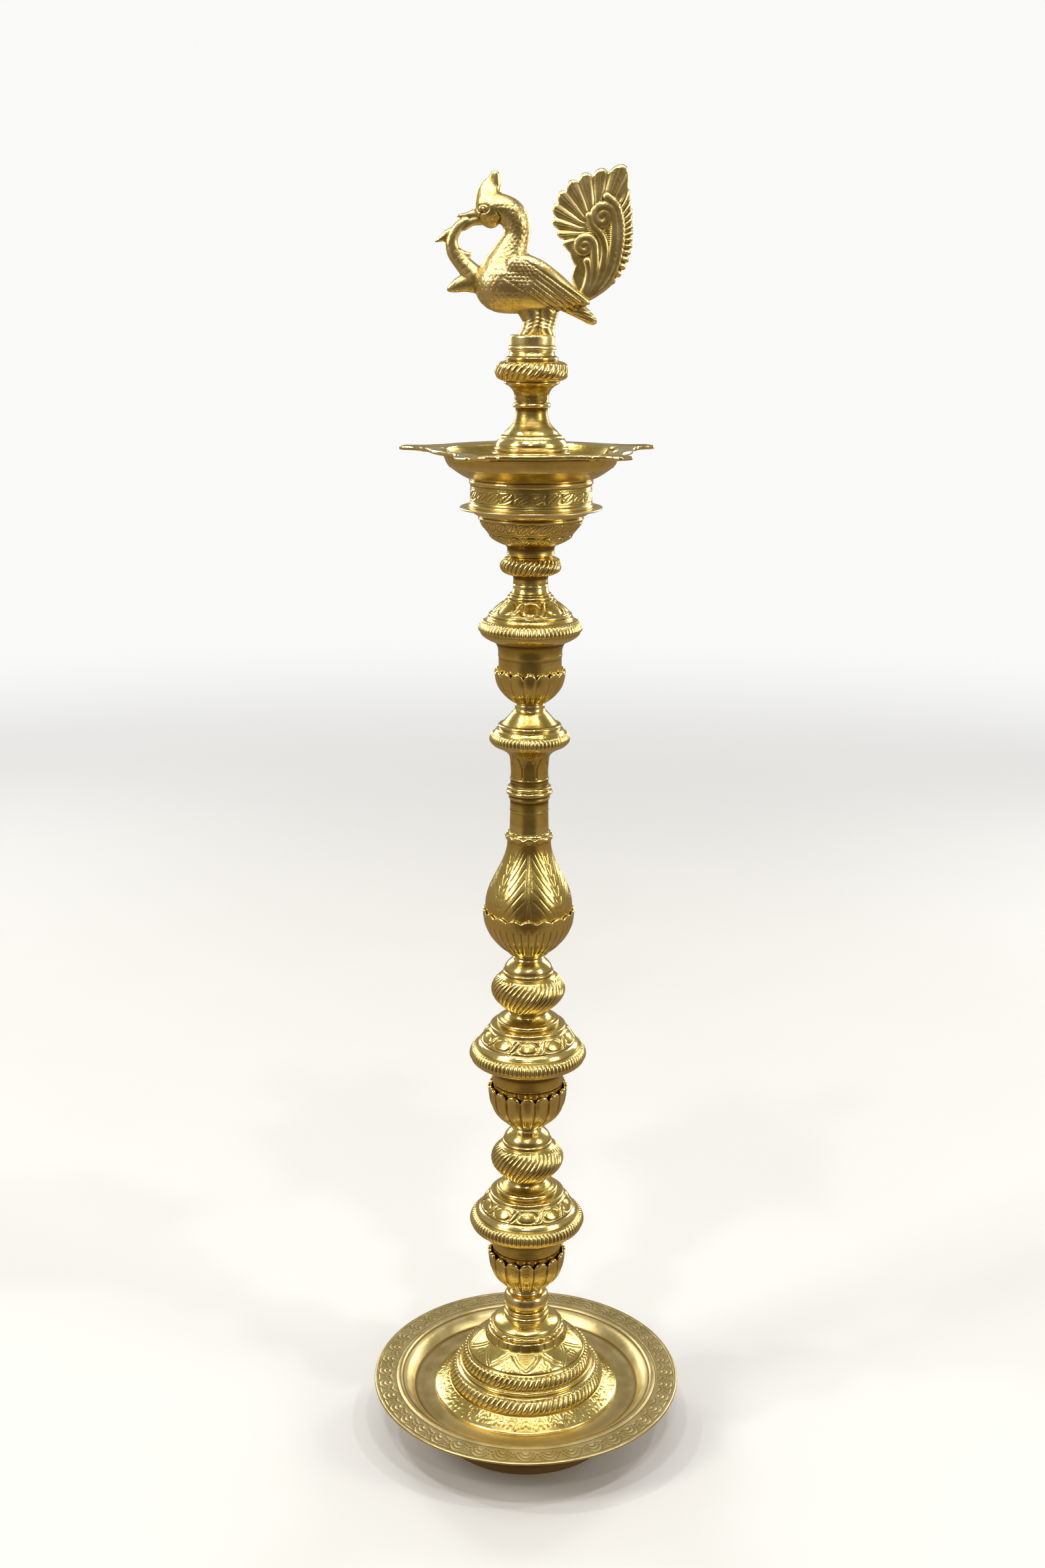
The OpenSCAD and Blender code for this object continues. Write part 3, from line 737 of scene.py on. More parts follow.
def makeCapital():
    foot, height, rim = heights("capital")
    outline = ([(15.8, 0), (15.6, 5), (15.9, 6.4), (17, 7.4)] + bead(18.2, 8.2, 24.8, 9.0, 26)
               + [(20.4, 25.6), (21.4, 26.2), (21.6, 27), (21.2, 27.8), (21.2, 32.4), (21.8, 33.2),
                  (22.2, 34)]
               + sweep((23, 34.8), (38, 45), lambda t: sin(pi / 2 * t) ** 0.9, 14)
               + [(39.2, 46), (39.6, 47.2)]
               + [(40.6, 47.8)] + sweep((41, 48.4), (46, 57), lambda t: sin(pi / 2 * t), 8)
               + bead(46, 57.6, 60.4, 1.4, 8) + [(47.4, 60.8)]
               + sweep((48, 61.2), (rim - 0.3, 65.2), lambda t: sin(pi / 2 * t), 6)
               + [(rim, 66), (rim, height)])
    outline = refine(outline, 2.4, [(9, 24, 0.9), (35, 57.4, 0.75)])
    piece = spun("capitalTurned", outline, capital["steps"], foot, hole=8.1)

    def relief(turn, radius, z):
        leaves = leafLines(turn, (z - 48.6) / 8.4, capital["leaves"], 0.7)
        leaves = leaves * inside(z, *capital["leafBand"], 0.5)
        lotus = petalLines(turn, (z - 35.4) / 9.6, capital["petals"], 2, 0.06)
        lotus = lotus * inside(z, *capital["petalBand"], 0.5)
        chased = capital["chase"] * (leaves + lotus)
        return (roping(turn, z, capitalRope) - chased) * (radius > 12)

    carve(piece, foot, relief)
    settle(piece, "capital")


catchPlate = {"steps": 192, "hole": 8.6, "waves": 3, "wave": 0.35, "lines": (61, 58.5),
              "chase": 0.2}


def makeCatchPlate():
    foot, height, rim = heights("catch_plate")
    hole = catchPlate["hole"]
    edge = [(rim - 1.2, 0), (rim - 0.4, 0.3), (rim, 1), (rim - 0.4, 1.7), (rim - 1.2, height)]
    outline = refine([(hole, 0)] + edge + [(hole, height)], 3)
    piece = spun("catchPlateSpun", outline, catchPlate["steps"], foot)

    def lift(turn, radius, z):                    # a thin, hand-hammered edge
        outer = np.clip((radius - 56) / 8, 0, 1) ** 2
        return catchPlate["wave"] * np.cos(catchPlate["waves"] * turn + 0.7) * outer

    def relief(turn, radius, z):
        lines = sum(groove(radius - at, 0.4) for at in catchPlate["lines"])
        return -catchPlate["chase"] * lines * (z > 1)

    carve(piece, foot, relief, lift)
    settle(piece, "catch_plate")


drum = {"steps": 480, "hole": 50, "leaves": 24, "leafBand": (6.4, 16), "lines": (5.6, 16.8),
        "chase": 0.5}


def makeDrum():
    foot, height, rim = heights("oil_drum")
    wall = rim - 1.5
    outline = ([(rim - 0.6, 0), (rim, 0.7), (rim, 2.3), (rim - 0.5, 3), (wall + 0.2, 3.6),
                (wall, 4.4)]
               + [(wall - 0.2, 19.6), (wall + 0.2, 20.4), (wall + 0.8, 21), (wall + 0.8, 23.2),
                  (wall + 0.3, height)])
    outline = refine(outline, 1.4, [(4, 20, 0.6)])
    piece = spun("oilDrumTurned", outline, drum["steps"], foot, drum["hole"])

    def relief(turn, radius, z):
        leaves = leafLines(turn, (z - 6.4) / 9.6, drum["leaves"], 0.8, 0.09)
        leaves = leaves * inside(z, *drum["leafBand"], 0.5)
        lines = 0.8 * sum(groove(z - at, 0.4) for at in drum["lines"])
        dots = stipple(turn, z, 96, 1.6) * inside(z, 17.2, 20, 0.5)
        return -drum["chase"] * (leaves + lines + dots) * (radius > 52)

    carve(piece, foot, relief)
    settle(piece, "oil_drum")


dish = {"steps": 480, "spouts": 5, "firstSpout": 24, "bossDrop": 22, "rim": 90, "sheet": 3.6,
        "drawFrom": 79, "channel": 2.2, "channelHalf": 6, "chase": 0.3,
        # half a spout from its middle, blunt and with a small cusp: degrees, and the rim's radius
        "degrees": (0, 3.5, 5, 7.5, 10, 11.5, 13.5, 17, 23, 36),
        "reach": (119.6, 119.6, 107, 101, 97.5, 98, 94, 91.5, 90, 90)}


def fromSpout(turn):
    # the angle from the nearest spout's middle
    pitch = tau / dish["spouts"]
    return np.abs((turn + front - radians(dish["firstSpout"]) + pitch / 2) % pitch - pitch / 2)


def makeDish():
    foot, height, _ = heights("oil_dish")
    rim, top, sheet = dish["rim"], height - dish["bossDrop"], dish["sheet"]
    outline = ([(0, -3), (8.1, -3), (8.1, -22), (15.4, -22), (16, -21.4), (16, 0), (50, 0),
                (53.6, 0.1)]
               + sweep((54.4, 0.6), (72, 10.8), lambda t: t ** 0.75, 14)
               + [(73.2, 11.4), (73.8, 12.4)]
               + sweep((74.4, 13), (78.6, top - sheet - 1.2), lambda t: t ** 0.85, 12)
               + [(79.4, top - sheet), (84, top - sheet), (rim - 0.6, top - sheet)]
               + [(rim, top - sheet + 0.5), (rim, top - 0.5), (rim - 0.5, top)]
               + [(rim - 1.6, top - 0.1), (81.6, top - 0.3), (80.4, top - 0.9)]
               + sweep((79.6, top - 1.8), (58, 6.2), lambda t: t ** 1.5, 18)
               + [(52, 4.4), (46, 4), (17, 4)]
               + [(16, 5), (16, 20.4), (15.4, 21), (6.1, 21), (6.1, 2), (0, 2)])
    outline = refine(outline, 4.0, [(11, top + 1, 1.6)])
    piece = spun("oilDishCast", outline, dish["steps"], foot + dish["bossDrop"])
    place, facing = readVerts(piece.data)
    radius = np.hypot(place[:, 0], place[:, 1])
    turn = np.arctan2(place[:, 1], place[:, 0]) - front
    # the flat rim is drawn out into the spouts, and each has a shallow channel
    start, off = dish["drawFrom"], fromSpout(turn)
    reach = np.interp(np.degrees(off), dish["degrees"], dish["reach"])
    share = np.clip((radius - start) / (rim - start), 0, 1)
    drawn = np.where(share > 0, start + share * (reach - start), radius)
    place[:, :2] *= (drawn / np.maximum(radius, 1e-6))[:, None]
    beside = np.sin(off) * drawn / dish["channelHalf"]
    channel = inside(drawn, 70, 117, 9) * np.clip(1 - beside ** 2, 0, 1)
    place[:, 2] -= dish["channel"] * channel * (facing[:, 2] > 0.2)
    writeVerts(piece.data, place)

    def relief(turn, radius, z):
        floor = (radius > 20) & (radius < 60) & (z > 3)
        rings = groove(radius - 46, 0.6) + groove(radius - 43.5, 0.5)
        return -dish["chase"] * rings * floor

    carve(piece, foot + dish["bossDrop"], relief)
    settle(piece, "oil_dish")


stem = {"steps": 320, "milling": 90, "milledDepth": 0.6}
stemRope = {"strands": 32, "band": (82, 97.6), "middle": 89.7, "lay": 2.1 / 17, "power": 0.7,
            "soft": 2.2, "groundSoft": 2.2, "depth": 1.7}


def makeStem():
    foot, height, rim = heights("stem")
    outline = ([(17.2, 0), (rim - 0.6, 0), (rim, 0.8), (rim, 2.6), (rim - 0.6, 3.2), (35.2, 4),
                (34.8, 15.6)]
               + [(34.8, 17.2)] + bead(34.0, 17.6, 20.6, 1.2, 8) + [(33.2, 21)]
               + bead(32.0, 21.4, 24.6, 1.2, 8)
               + [(31.6, 25.2)] + shoulder((31.5, 26), (27.4, 33.8), 10)
               + [(26.4, 34.6), (25.4, 34.9)]
               + [(24.9, 35.6), (22.6, 38.6), (19.2, 41.8), (16.8, 44.8), (15.4, 47.6),
                  (14.6, 50.6)]
               + [(14.2, 54), (14.1, 56), (14.3, 57.8)] + bead(14.8, 58.2, 62.6, 2.0)
               + [(14.8, 63.4), (15.0, 66)] + sweep((15.2, 67), (20.4, 77), lambda t: t ** 2.4, 12)
               + [(22.4, 77.8), (23.4, 78.4)] + bead(23.6, 78.8, 80.8, 1.0, 8)
               + bead(24.2, 81.2, 98.2, 7.7, 30) + [(23.2, 98.8)] + bead(22.4, 99.2, 101.6, 0.9, 8)
               + [(21, 102.4), (20.0, 103.6), (19.8, height)]
               + [(6.1, height), (6.1, 18), (17.2, 18)])
    outline = refine(outline, 2.6, [(81, 98, 0.9)])
    piece = spun("stemTurned", outline, stem["steps"], foot)

    def relief(turn, radius, z):
        milled = inside(z, 31.6, 33.6, 0.5) + inside(z, 35.4, 37, 0.4)
        milled = stem["milledDepth"] * ribs(turn, stem["milling"], 0, 0.8) * milled
        return (roping(turn, z, stemRope) - milled) * (radius > 19)

    carve(piece, foot, relief)
    settle(piece, "stem")


thread = {"pitch": 1.5, "depth": 0.85, "steps": 32, "chamfer": 1}


def makeStud(node):
    foot, height, rim = heights(node)
    cut = thread["chamfer"]
    outline = [(0, 0), (rim - cut, 0), (rim, cut), (rim, height - cut), (rim - cut, height),
               (0, height)]
    outline = refine(outline, 4, [(cut, height - cut, thread["pitch"] / 4)])
    piece = spun(node + "Thread", outline, thread["steps"], foot)

    def relief(turn, radius, z):
        phase = (z / thread["pitch"] - turn / tau) % 1
        return -thread["depth"] * np.abs(2 * phase - 1) * (radius > rim - 0.6)

    carve(piece, foot, relief)
    settle(piece, node)


def curveThrough(points, count):
    # count places along a smooth curve through the points, each a row of numbers
    rows = np.array([points[0]] + list(points) + [points[-1]], float)
    made = []
    for s in np.linspace(0, len(points) - 1 - 1e-9, count):
        i = int(s)
        t = s - i
        a, b, c, d = rows[i:i + 4]
        made.append(0.5 * (2 * b + (c - a) * t + (2 * a - 5 * b + 4 * c - d) * t * t
                           + (3 * b - a - 3 * c + d) * t ** 3))
    return np.array(made)


def addLimb(whole, points, count, sideways=(0.0, 0.0), mirrored=False):
    # a chain of balls: each point is x, z, radius and how wide it is beside its radius;
    # sideways is how far from the middle it starts and ends
    limb = bmesh.new()
    for i, (x, z, radius, wide) in enumerate(curveThrough(points, count)):
        aside = sideways[0] + (sideways[1] - sideways[0]) * i / (count - 1)
        for side in ((1, -1) if mirrored else (1,)):
            ball = bmesh.ops.create_icosphere(limb, subdivisions=3, radius=1)["verts"]
            bmesh.ops.scale(limb, verts=ball, vec=(radius * mm, radius * wide * mm, radius * mm))
            bmesh.ops.translate(limb, verts=ball, vec=(x * mm, side * aside * mm, z * mm))
    mesh = bpy.data.meshes.new("limb")
    limb.to_mesh(mesh)
    limb.free()
    whole.from_mesh(mesh)
    bpy.data.meshes.remove(mesh)


def cast(name, bm, voxel, calm):
    # fuses overlapping forms into one skin, as a casting has
    rough = keep(name, bm)
    fuse = rough.modifiers.new("fuse", "REMESH")
    fuse.mode, fuse.voxel_size, fuse.use_smooth_shade = "VOXEL", voxel * mm, True
    soften = rough.modifiers.new("soften", "SMOOTH")
    soften.factor, soften.iterations = 0.5, calm
    graph = bpy.context.evaluated_depsgraph_get()
    mesh = bpy.data.meshes.new_from_object(rough.evaluated_get(graph))
    old = rough.data
    rough.modifiers.clear()
    rough.data = mesh
    bpy.data.meshes.remove(old)
    mesh.name = name
    mesh.shade_smooth()
    return rough


bird = {"voxel": 0.8, "calm": 4, "feather": 0.8, "chase": 0.34, "face": 0.9, "crest": 0.15,
        "legs": 0.4, "tailRoot": 0.5, "vine": 0.12}


def castBird(foot):
    bm = bmesh.new()
    # breast, back and root of the tail
    addLimb(bm, [(-29, 53, 18, 0.95), (-24.6, 57.6, 25.4, 0.86), (-8, 57, 25, 0.86),
                 (11, 52, 19, 0.92), (28, 47, 11.5, 0.95), (42, 43, 6.5, 0.9)], 26)
    addLimb(bm, [(30, 41, 8, 0.8), (42, 34, 6.5, 0.7), (51, 27.5, 4.6, 0.8), (54, 26, 2.8, 0.8)],
            12)
    # neck and head, crest and cheeks
    addLimb(bm, [(-24, 68, 20, 0.85), (-18, 84, 14.5, 0.9), (-13.6, 96, 11.6, 0.95),
                 (-13.8, 106, 12.0, 1.0), (-19, 115, 12.4, 1.0), (-28, 119, 12.6, 0.98),
                 (-36.5, 118.5, 13.8, 0.92)], 34)
    addLimb(bm, [(-37.4, 122, 12.8, 0.85), (-37.8, 128.5, 11.0, 0.6), (-36.6, 134.6, 9.0, 0.42),
                 (-33.4, 140.6, 6.4, 0.42), (-32.6, 145.8, 4.6, 0.5)], 16)
    addLimb(bm, [(-36, 111, 8.4, 1.0), (-40, 110.6, 6, 1.0)], 4)
    # beak and eyes
    addLimb(bm, [(-46, 115.6, 5.4, 0.9), (-52, 114.2, 3.6, 0.9), (-58, 113.2, 2.4, 1.0),
                 (-64.4, 113.0, 1.2, 1.0)], 12)
    addLimb(bm, [(-46, 110, 5, 0.9), (-52, 108.4, 3.8, 0.9), (-57, 104.6, 3.0, 0.9),
                 (-59.4, 102, 1.8, 1.0)], 12)
    addLimb(bm, [(-42.6, 118.6, 3.4, 0.7), (-42.8, 118.6, 3.2, 0.7)], 2, (10.8, 10.8), True)
    # legs, cast as one with the web between them
    addLimb(bm, [(-2, 38, 12, 1.0), (0, 27, 8.6, 1.25), (-2.5, 19, 7.4, 1.6),
                 (-6, 14.6, 6.2, 2.0)], 12)
    addLimb(bm, [(13, 38, 11, 1.0), (13, 27, 8.2, 1.25), (12, 19, 7.4, 1.6),
                 (14.5, 14.6, 6.2, 1.8)], 12)
    addLimb(bm, [(5, 36, 11, 0.8), (5.5, 16, 8, 0.9)], 6)
    # the vine that hangs from the beak to the breast
    addLimb(bm, [(-57, 109, 3.6, 1.0), (-63, 105, 4.2, 0.9), (-67.6, 98.4, 5.2, 0.8),
                 (-69.6, 91, 5.9, 0.75), (-67.8, 83.5, 6.4, 0.7), (-63.2, 77, 7.0, 0.7),
                 (-57, 70.5, 8.0, 0.75), (-50, 63, 9.8, 0.8)], 34)
    addLimb(bm, [(-67, 101, 3.8, 0.8), (-73.4, 97.4, 4.2, 0.7), (-78.6, 94.2, 2.8, 0.7),
                 (-83.4, 91.8, 0.9, 1.0)], 14)
    addLimb(bm, [(-67, 84.5, 3.6, 0.8), (-61, 81.8, 3.6, 0.8), (-56.2, 80.4, 3.0, 0.8),
                 (-54, 82, 1.6, 1.0)], 12)
    addLimb(bm, [(-50, 58, 9, 0.75), (-58, 57.6, 7.6, 0.7), (-65.4, 55.2, 5.8, 0.65),
                 (-71.4, 52.6, 3.0, 0.7)], 16)
    # wings, as a raised form that lies along each side
    addLimb(bm, [(-15, 72, 8, 0.55), (-6, 68, 12.5, 0.46), (6, 62, 13.5, 0.42),
                 (20, 54, 10.5, 0.42), (33, 47.5, 7, 0.45), (42, 43.6, 4.4, 0.5),
                 (48, 41.6, 2.4, 0.6)], 44, (17.4, 5.4), True)
    addLimb(bm, [(-12, 53, 4.4, 0.8), (4, 46.6, 4.4, 0.75), (18, 42.4, 4.0, 0.75),
                 (34, 40.0, 2.8, 0.8)], 30, (17.6, 6.6), True)
    bmesh.ops.translate(bm, verts=bm.verts, vec=(0, 0, foot * mm))
    return cast("peacockBody", bm, bird["voxel"], bird["calm"])


def scales(along, across, squeeze, size, width):
    # rows of overlapping scales: a row is 1 along, and every other one is set over by half
    beside = (across + np.floor(along) * 0.5) % 1 - 0.5
    return groove(np.hypot(along % 1 - 0.1, beside * squeeze) - size, width)


def chaseBird(piece, foot):
    place, facing = readVerts(piece.data)
    x, y, z = place[:, 0], np.abs(place[:, 1]), place[:, 2] - foot
    sideways = np.clip(np.abs(facing[:, 1]) * 2.2 - 0.25, 0, 1)
    # wing feathers: short scales over the shoulder, long quills towards the tip
    along = ((x + 16) * 0.86 - (z - 73) * 0.50) / 70
    across = ((x + 16) * 0.50 + (z - 73) * 0.86) / 12
    wing = inside(along, -0.06, 1.0, 0.06) * inside(across + along * 0.25, -1.25, 0.75, 0.14)
    wing = wing * (y > 2) * (z > 34)
    quill = (across * 3.2 + along * 1.8) % 1 - 0.5
    barbs = 0.35 * groove((along * 26 + np.abs(quill) * 3) % 1 - 0.5, 0.2)
    long = (groove(quill, 0.13) + barbs) * inside(along, 0.30, 1.0, 0.05)
    short = scales(along * 22, across * 3.4, 1.6, 0.62, 0.14) * inside(along, -0.05, 0.30, 0.03)
    edge = groove(across + along * 0.25 + 1.18, 0.07) + groove(across + along * 0.25 - 0.68, 0.07)
    feathers = np.clip(long + short + edge * 1.2, 0, 1.3) * wing
    # neck and breast: rows of small scales that follow the neck's curve
    bend = np.arctan2(z - 92, x + 46)
    far = np.hypot(x + 46, z - 92)
    neck = inside(far, 14, 60, 3) * inside(z, 66, 126, 3) * (x > -36) * (1 - wing)
    neck = neck * scales(bend * 11, far / 5.2, 1.5, 0.6, 0.14)
    breast = inside(x, -50, -8, 3) * inside(z, 34, 72, 4) * (1 - wing)
    breast = 0.8 * breast * scales(z / 5.0, x / 6.2 + y / 9, 1.5, 0.6, 0.13)
    # head: an eye ring, and a line that parts the beak; plume lines on the crest
    eye = groove(np.hypot(x + 42.6, (z - 118.6) * 1.3) - 5.0, 0.8)
    eye = (eye + groove(np.hypot(x + 42.6, z - 118.6) - 1.6, 0.6)) * (y > 6)
    cheek = groove(np.hypot((x + 37) * 0.8, z - 110.5) - 7.2, 0.8) * (y > 5) * (z < 116)
    crest = groove(((x + 36 + (z - 130) * 0.15) / 2.6) % 1 - 0.5, 0.2) * inside(z, 128, 150, 2)
    legs = groove((z / 3.2 + np.abs(x - 5) / 9) % 1 - 0.5, 0.16) * inside(z, 17, 32, 3) * (y < 16)
    tailRoot = (groove((z / 2.8 + x / 9) % 1 - 0.5, 0.16) * inside(x, 32, 58, 2)
                * inside(z, 20, 38, 2))
    vine = groove((z / 7 - x / 9) % 1 - 0.5, 0.10) * (x < -50) * (z < 100)
    depth = (bird["feather"] * feathers + bird["chase"] * (neck + breast)
             + bird["face"] * (eye + cheek) + bird["crest"] * crest + bird["legs"] * legs
             + bird["tailRoot"] * tailRoot + bird["vine"] * vine)
    writeVerts(piece.data, place - facing * (depth * sideways)[:, None])


def makePeacock():
    foot, _, _ = heights("peacock")
    piece = castBird(foot)
    chaseBird(piece, foot)
    # the round pad that it stands on
    outline = ([(6.1, 0), (19.6, 0), (19.9, 0.6), (20.6, 1.4)] + bead(20.2, 1.6, 5.0, 1.0, 8)
               + [(19.9, 5.6), (20, 6.2), (20, 13.0), (19.6, 13.8), (18.8, 14.3), (17.6, 14.5),
                  (6.1, 14.5)])
    pad = spun("pad", refine(outline, 1.5), 256, foot)
    bm = bmesh.new()
    bm.from_mesh(piece.data)
    bm.from_mesh(pad.data)
    bpy.data.objects.remove(pad)
    bm.to_mesh(piece.data)
    bm.free()
    piece.data.shade_smooth()
    settle(piece, "peacock")


fan = {"columns": 460, "rings": 60, "thick": 7.0, "edge": 1.0, "middle": (55, 100),
       "lobes": 9, "lobesFrom": 1.1, "lobesSpan": 2.55, "combs": 13, "combsFrom": -1.3,
       "combsSpan": 2.25, "ridge": 1.9,
       # the plain outline, as x and height over the bird's pad
       "outline": ((36, 56), (34, 63), (37, 72), (32, 83), (24, 94), (18.5, 104), (16.6, 112),
                   (18, 124), (25.6, 136), (37, 145), (51.4, 150), (65, 152.6), (81, 155.4),
                   (81.5, 139), (84, 124), (85.4, 110), (85.6, 96), (84, 82), (80, 71), (74, 62),
                   (66, 54), (58, 48), (48, 42.5), (40, 45))}


def ridge(x, z, points, width, count=60):
    # a rounded rib along a curve, highest on its line
    line = curveThrough(points, count)
    near = np.full(len(x), 1e9)
    for (ax, az), (bx, bz) in zip(line, line[1:]):
        dx, dz = bx - ax, bz - az
        t = np.clip(((x - ax) * dx + (z - az) * dz) / (dx * dx + dz * dz + 1e-9), 0, 1)
        near = np.minimum(near, np.hypot(x - ax - t * dx, z - az - t * dz))
    return np.sqrt(np.clip(1 - (near / width) ** 2, 0, 1)), near


def spiral(cx, cz, start, turns, outer, inner, count=26):
    # a volute that winds in to (cx, cz)
    made = []
    for i in range(count + 1):
        t = i / count
        radius = outer + (inner - outer) * t
        angle = start + turns * tau * t
        made.append((cx + radius * cos(angle), cz + radius * sin(angle)))
    return made


def makeTail():
    foot, _, _ = heights("peacock")
    # the plain outline about the fan's middle, as angle and reach
    mid = fan["middle"]
    around = np.array([np.arctan2(z - mid[1], x - mid[0]) for x, z in fan["outline"]])
    reach = np.array([hypot(x - mid[0], z - mid[1]) for x, z in fan["outline"]])
    order = np.argsort(around)
    bm = bmesh.new()
    bmesh.ops.create_grid(bm, x_segments=fan["columns"], y_segments=fan["rings"], size=0.5)
    grid = keep("peacockTail", bm)
    spot = np.empty(len(grid.data.vertices) * 3, np.float32)
    grid.data.vertices.foreach_get("co", spot)
    spot = spot.reshape(-1, 3)
    turn, out = (spot[:, 0] + 0.5) * tau - pi, spot[:, 1] + 0.5
    edge = np.interp(turn, around[order], reach[order], period=tau)
    # scalloped lobes along the top and front, comb-like barbs down the back
    top = np.clip((turn - 1.05) / 0.1, 0, 1) + (turn < -2.75)
    back = inside(turn, -1.30, 0.95, 0.08)
    lobe = (turn % tau - fan["lobesFrom"]) / fan["lobesSpan"] * fan["lobes"]
    comb = (turn - fan["combsFrom"]) / fan["combsSpan"] * fan["combs"]
    lobes = 0.10 * (np.abs(np.sin(pi * lobe)) ** 0.8 - 0.85) * top
    combs = 0.06 * (np.sin(pi * (comb % 1)) ** 0.7 - 0.8) * back
    edge = edge * (1 + lobes + combs)
    x = mid[0] + out * edge * np.cos(turn)
    z = mid[1] + out * edge * np.sin(turn)
    # broad feathers: fan-wise grooves that open from the volutes towards the edge
    feather = lobe % 1
    broad = 1.7 * np.sin(pi * feather) ** 0.6 - 0.25 * groove(feather - 0.5, 0.05) - 1.0
    broad = broad * top * inside(out, 0.30, 1.05, 0.08)
    barb = (comb + (1 - out) * 2.6) % 1
    combed = (2.6 * np.sin(pi * barb) ** 0.7 - 1.5) * back * inside(out, 0.60, 1.05, 0.05)
    # volutes and the stems that carry them
    upper = ([(49, 47), (59, 58), (66.5, 73), (70, 89), (70.4, 103)]
             + spiral(60, 113, 0, 1.4, 9.6, 1.8))
    lower = [(46, 48), (51, 58), (53.6, 69), (53.4, 80)] + spiral(44.6, 88.5, 0, 1.3, 8.2, 1.6)
    outer = [(52, 46), (64, 57), (72, 73), (75.6, 92), (75.4, 108), (71, 122), (63, 129)]
    inner = [(47.6, 47), (55.4, 58), (60.4, 72), (62, 86), (58.6, 97), (51.6, 105), (48.6, 113)]
    short = [(43.4, 49), (47, 58), (48.6, 68), (47, 76)]
    ridges = np.zeros(len(x))
    away = np.full(len(x), 1e9)
    for line, width in ((upper, 4.2), (lower, 3.8), (outer, 3.4), (inner, 3.6), (short, 3.2)):
        raised, near = ridge(x, z, line, width)
        ridges = np.maximum(ridges, raised)
        away = np.minimum(away, near)
    quiet = np.clip((away - 2) / 3, 0, 1)
    beads = 0.25 * np.cos(tau * z / 1.6) * groove(away - 4.2, 0.7)
    height = fan["ridge"] * ridges + (broad + combed) * quiet + beads
    half = (fan["thick"] / 2 - 1.6) * (1 - 0.35 * out ** 2) + height
    half = half * np.sqrt(np.clip((1 - out) / 0.05, 0, 1))
    half = np.maximum(half, fan["edge"] * np.sqrt(np.clip((1 - out) / 0.02, 0, 1)))
    writeVerts(grid.data, np.stack([x, -half, z + foot], 1))
    bm = bmesh.new()
    bm.from_mesh(grid.data)
    bmesh.ops.remove_doubles(bm, verts=bm.verts, dist=2e-5)
    bmesh.ops.mirror(bm, geom=bm.verts[:] + bm.edges[:] + bm.faces[:], axis="Y", merge_dist=2e-5)
    bmesh.ops.remove_doubles(bm, verts=bm.verts, dist=1e-5)
    bmesh.ops.recalc_face_normals(bm, faces=bm.faces)
    bm.to_mesh(grid.data)
    bm.free()
    grid.data.shade_smooth()
    settle(grid, "peacock_tail")


print("base")
makeTray()
makePedestal()
makeTieBolt()
print("column")
makeCup("lotus_cup_lower", columnCup)
makeCup("lotus_cup_middle", columnCup)
makeCup("lotus_cup_upper", upperCup)
makeVaseCup()
for node in ("skirt_lower", "skirt_middle"):
    makeColumnSkirt(node)
for node in ("rope_bulb_lower", "rope_bulb_middle"):
    makeBulb(node)
makeVase()
makeNeckTube()
makeTopSkirt()
print("head")
makeCapital()
makeCatchPlate()
makeDrum()
makeDish()
makeStem()
print("studs")
for node in sorted(bodyOf):
    if node.startswith("stud_"):
        makeStud(node)
print("peacock")
makePeacock()
makeTail()


view = {"back": 1.62, "aside": -0.0064, "up": 1.104, "tilt": 14.87, "roll": 0.286, "lens": 41.48}


def makeCamera():
    data = bpy.data.cameras.new("camera")
    data.lens, data.sensor_width = view["lens"], 36
    data.clip_start, data.clip_end = 0.05, 100
    camera = bpy.data.objects.new("camera", data)
    bpy.context.scene.collection.objects.link(camera)
    camera.matrix_world = (Matrix.Translation((view["aside"], -view["back"], view["up"]))
                           @ Matrix.Rotation(radians(90 - view["tilt"]), 4, "X")
                           @ Matrix.Rotation(radians(view["roll"]), 4, "Z"))
    bpy.context.scene.camera = camera


# place, the height it aims at, width, height, power, colour
softBoxes = {
    "keyLeft": ((-2.4, -1.4, 2.4), 0.7, 0.7, 1.3, 34, (1.0, 0.97, 0.90)),
    "fillRight": ((2.5, -1.2, 1.7), 0.6, 0.6, 1.3, 20, (1.0, 0.97, 0.92)),
    "overhead": ((0, 0.1, 3.6), 0.6, 1.6, 1.6, 14, (1, 1, 1)),
    "backLeft": ((-1.6, 2.2, 1.6), 0.7, 0.7, 1.7, 20, (1, 1, 1)),
    "backRight": ((1.8, 2.0, 1.4), 0.7, 0.7, 1.7, 20, (1, 1, 1)),
}
smallLamps = {"spots": ((-0.55, -1.2), (0.45, -1.3), (1.15, -0.8), (-0.1, -2.6), (-1.3, -0.4)),
              "up": 3.0, "aim": 0.7, "size": 0.12, "power": 9}


def softLight(name, place, aim, width, height, power, colour):
    data = bpy.data.lights.new(name, "AREA")
    data.shape, data.size, data.size_y = "RECTANGLE", width, height
    data.energy, data.color = power, colour
    light = bpy.data.objects.new(name, data)
    light.location = place
    towards = Vector((0, 0, aim)) - Vector(place)
    light.rotation_euler = towards.to_track_quat("-Z", "Y").to_euler()
    bpy.context.scene.collection.objects.link(light)


ground = {"radius": 12, "fadeFrom": 0.9, "fadeTo": 4.5, "rough": 0.7,
          "dull": (0.86, 0.855, 0.84, 1), "clean": (0.90, 0.895, 0.88, 1)}


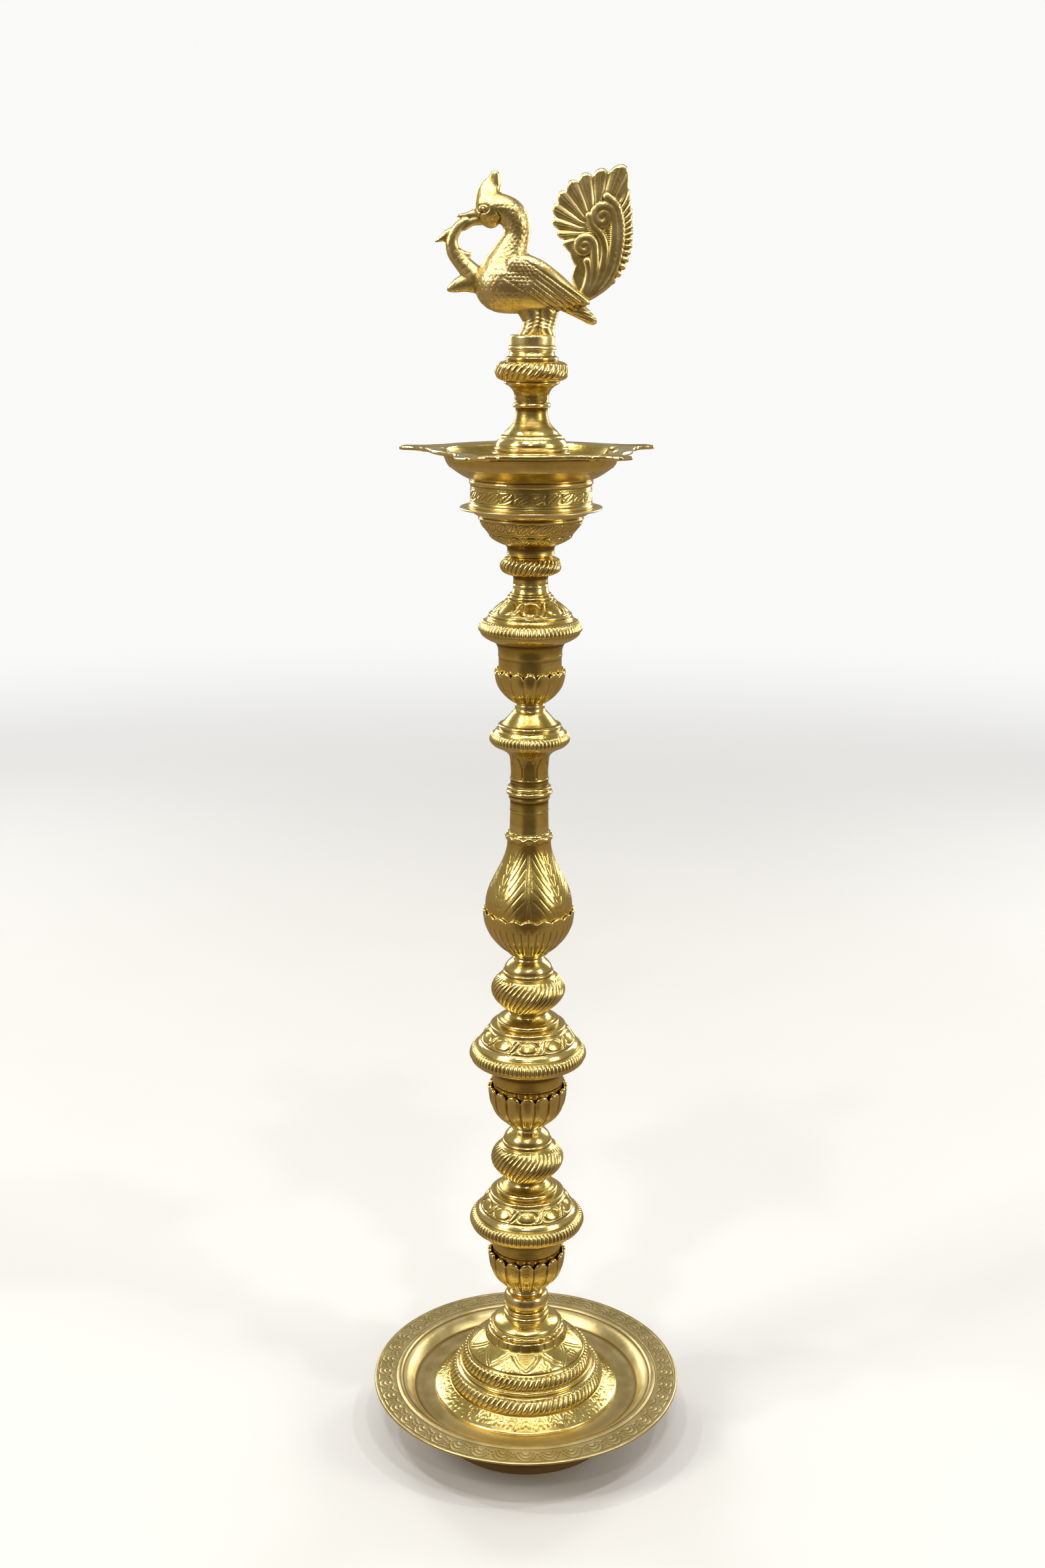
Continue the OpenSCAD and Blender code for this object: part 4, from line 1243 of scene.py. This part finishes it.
def makeFloor():
    bm = bmesh.new()
    bmesh.ops.create_circle(bm, cap_ends=True, segments=96, radius=ground["radius"])
    floor = keep("floor", bm)
    f = Finish("paleFloor")
    place = f.wire(f.node("ShaderNodeTexCoord"), 3)
    far = f.wire(f.node("ShaderNodeVectorMath", {"operation": "LENGTH"}, {0: place}), 1)
    fade = f.wire(f.node("ShaderNodeMapRange", {"clamp": True, "interpolation_type": "SMOOTHSTEP"},
                         {0: far, 1: ground["fadeFrom"], 2: ground["fadeTo"]}))
    mottle = f.cloud(place, 3.0, 4.0)
    shader = f.node("ShaderNodeBsdfPrincipled", {}, {
        "Base Color": f.tint(mottle, ground["dull"], ground["clean"]),
        "Roughness": ground["rough"]})
    clear = f.node("ShaderNodeBsdfTransparent")
    mix = f.node("ShaderNodeMixShader", {}, {0: fade, 1: f.wire(shader), 2: f.wire(clear)})
    f.node("ShaderNodeOutputMaterial", {}, {0: f.wire(mix)})
    floor.data.materials.append(f.material)
    floor.visible_glossy = False             # the brass mirrors the room's dark lower half instead


room = {"ceiling": (0.30, 0.285, 0.25, 1), "walls": (0.34, 0.31, 0.255, 1),
        "low": (0.30, 0.225, 0.150, 1),
        "front": (0.115, 0.085, 0.058, 1), "backdrop": (0.95, 0.95, 0.945, 1),
        # between which upward and backward directions one colour gives way to the next
        "above": (0.30, 0.62), "below": (0.02, -0.20), "ahead": (-0.62, -0.86)}


def makeWorld():
    # a pale backdrop for the eye; the brass mirrors a room with a light ceiling and a dark front
    world = bpy.data.worlds.new("studio")
    bpy.context.scene.world = world
    world.use_nodes = True
    tree = world.node_tree
    tree.nodes.clear()

    def add(kind, settings=None, sockets=None):
        made = tree.nodes.new(kind)
        for key, value in (settings or {}).items():
            setattr(made, key, value)
        for key, value in (sockets or {}).items():
            if isinstance(value, bpy.types.NodeSocket):
                tree.links.new(value, made.inputs[key])
            else:
                made.inputs[key].default_value = value
        return made

    place = add("ShaderNodeTexCoord").outputs["Generated"]
    way = add("ShaderNodeSeparateXYZ", {}, {0: place}).outputs
    smooth = {"clamp": True, "interpolation_type": "SMOOTHSTEP"}
    colour = room["walls"]
    for axis, band, other in ((2, "below", "low"), (1, "ahead", "front"), (2, "above", "ceiling")):
        start, end = room[band]
        share = add("ShaderNodeMapRange", smooth, {0: way[axis], 1: start, 2: end}).outputs[0]
        mixed = add("ShaderNodeMix", {"data_type": "RGBA"}, {0: share, 6: colour, 7: room[other]})
        colour = mixed.outputs[2]
    mirrored = add("ShaderNodeBackground", {}, {0: colour, 1: 1.0}).outputs[0]
    seen = add("ShaderNodeBackground", {}, {0: room["backdrop"], 1: 1.0}).outputs[0]
    path = add("ShaderNodeLightPath").outputs["Is Camera Ray"]
    mix = add("ShaderNodeMixShader", {}, {0: path, 1: mirrored, 2: seen}).outputs[0]
    add("ShaderNodeOutputWorld", {}, {0: mix})


print("studio")
makeCamera()
makeFloor()
makeWorld()
bpy.context.scene.view_settings.view_transform = "Standard"
for name, values in softBoxes.items():
    softLight(name, *values)
for k, (x, y) in enumerate(smallLamps["spots"]):           # small ceiling lamps that sparkle
    softLight(f"lamp{k}", (x, y, smallLamps["up"]), smallLamps["aim"], smallLamps["size"],
              smallLamps["size"], smallLamps["power"], (1, 1, 1))

print("finished")
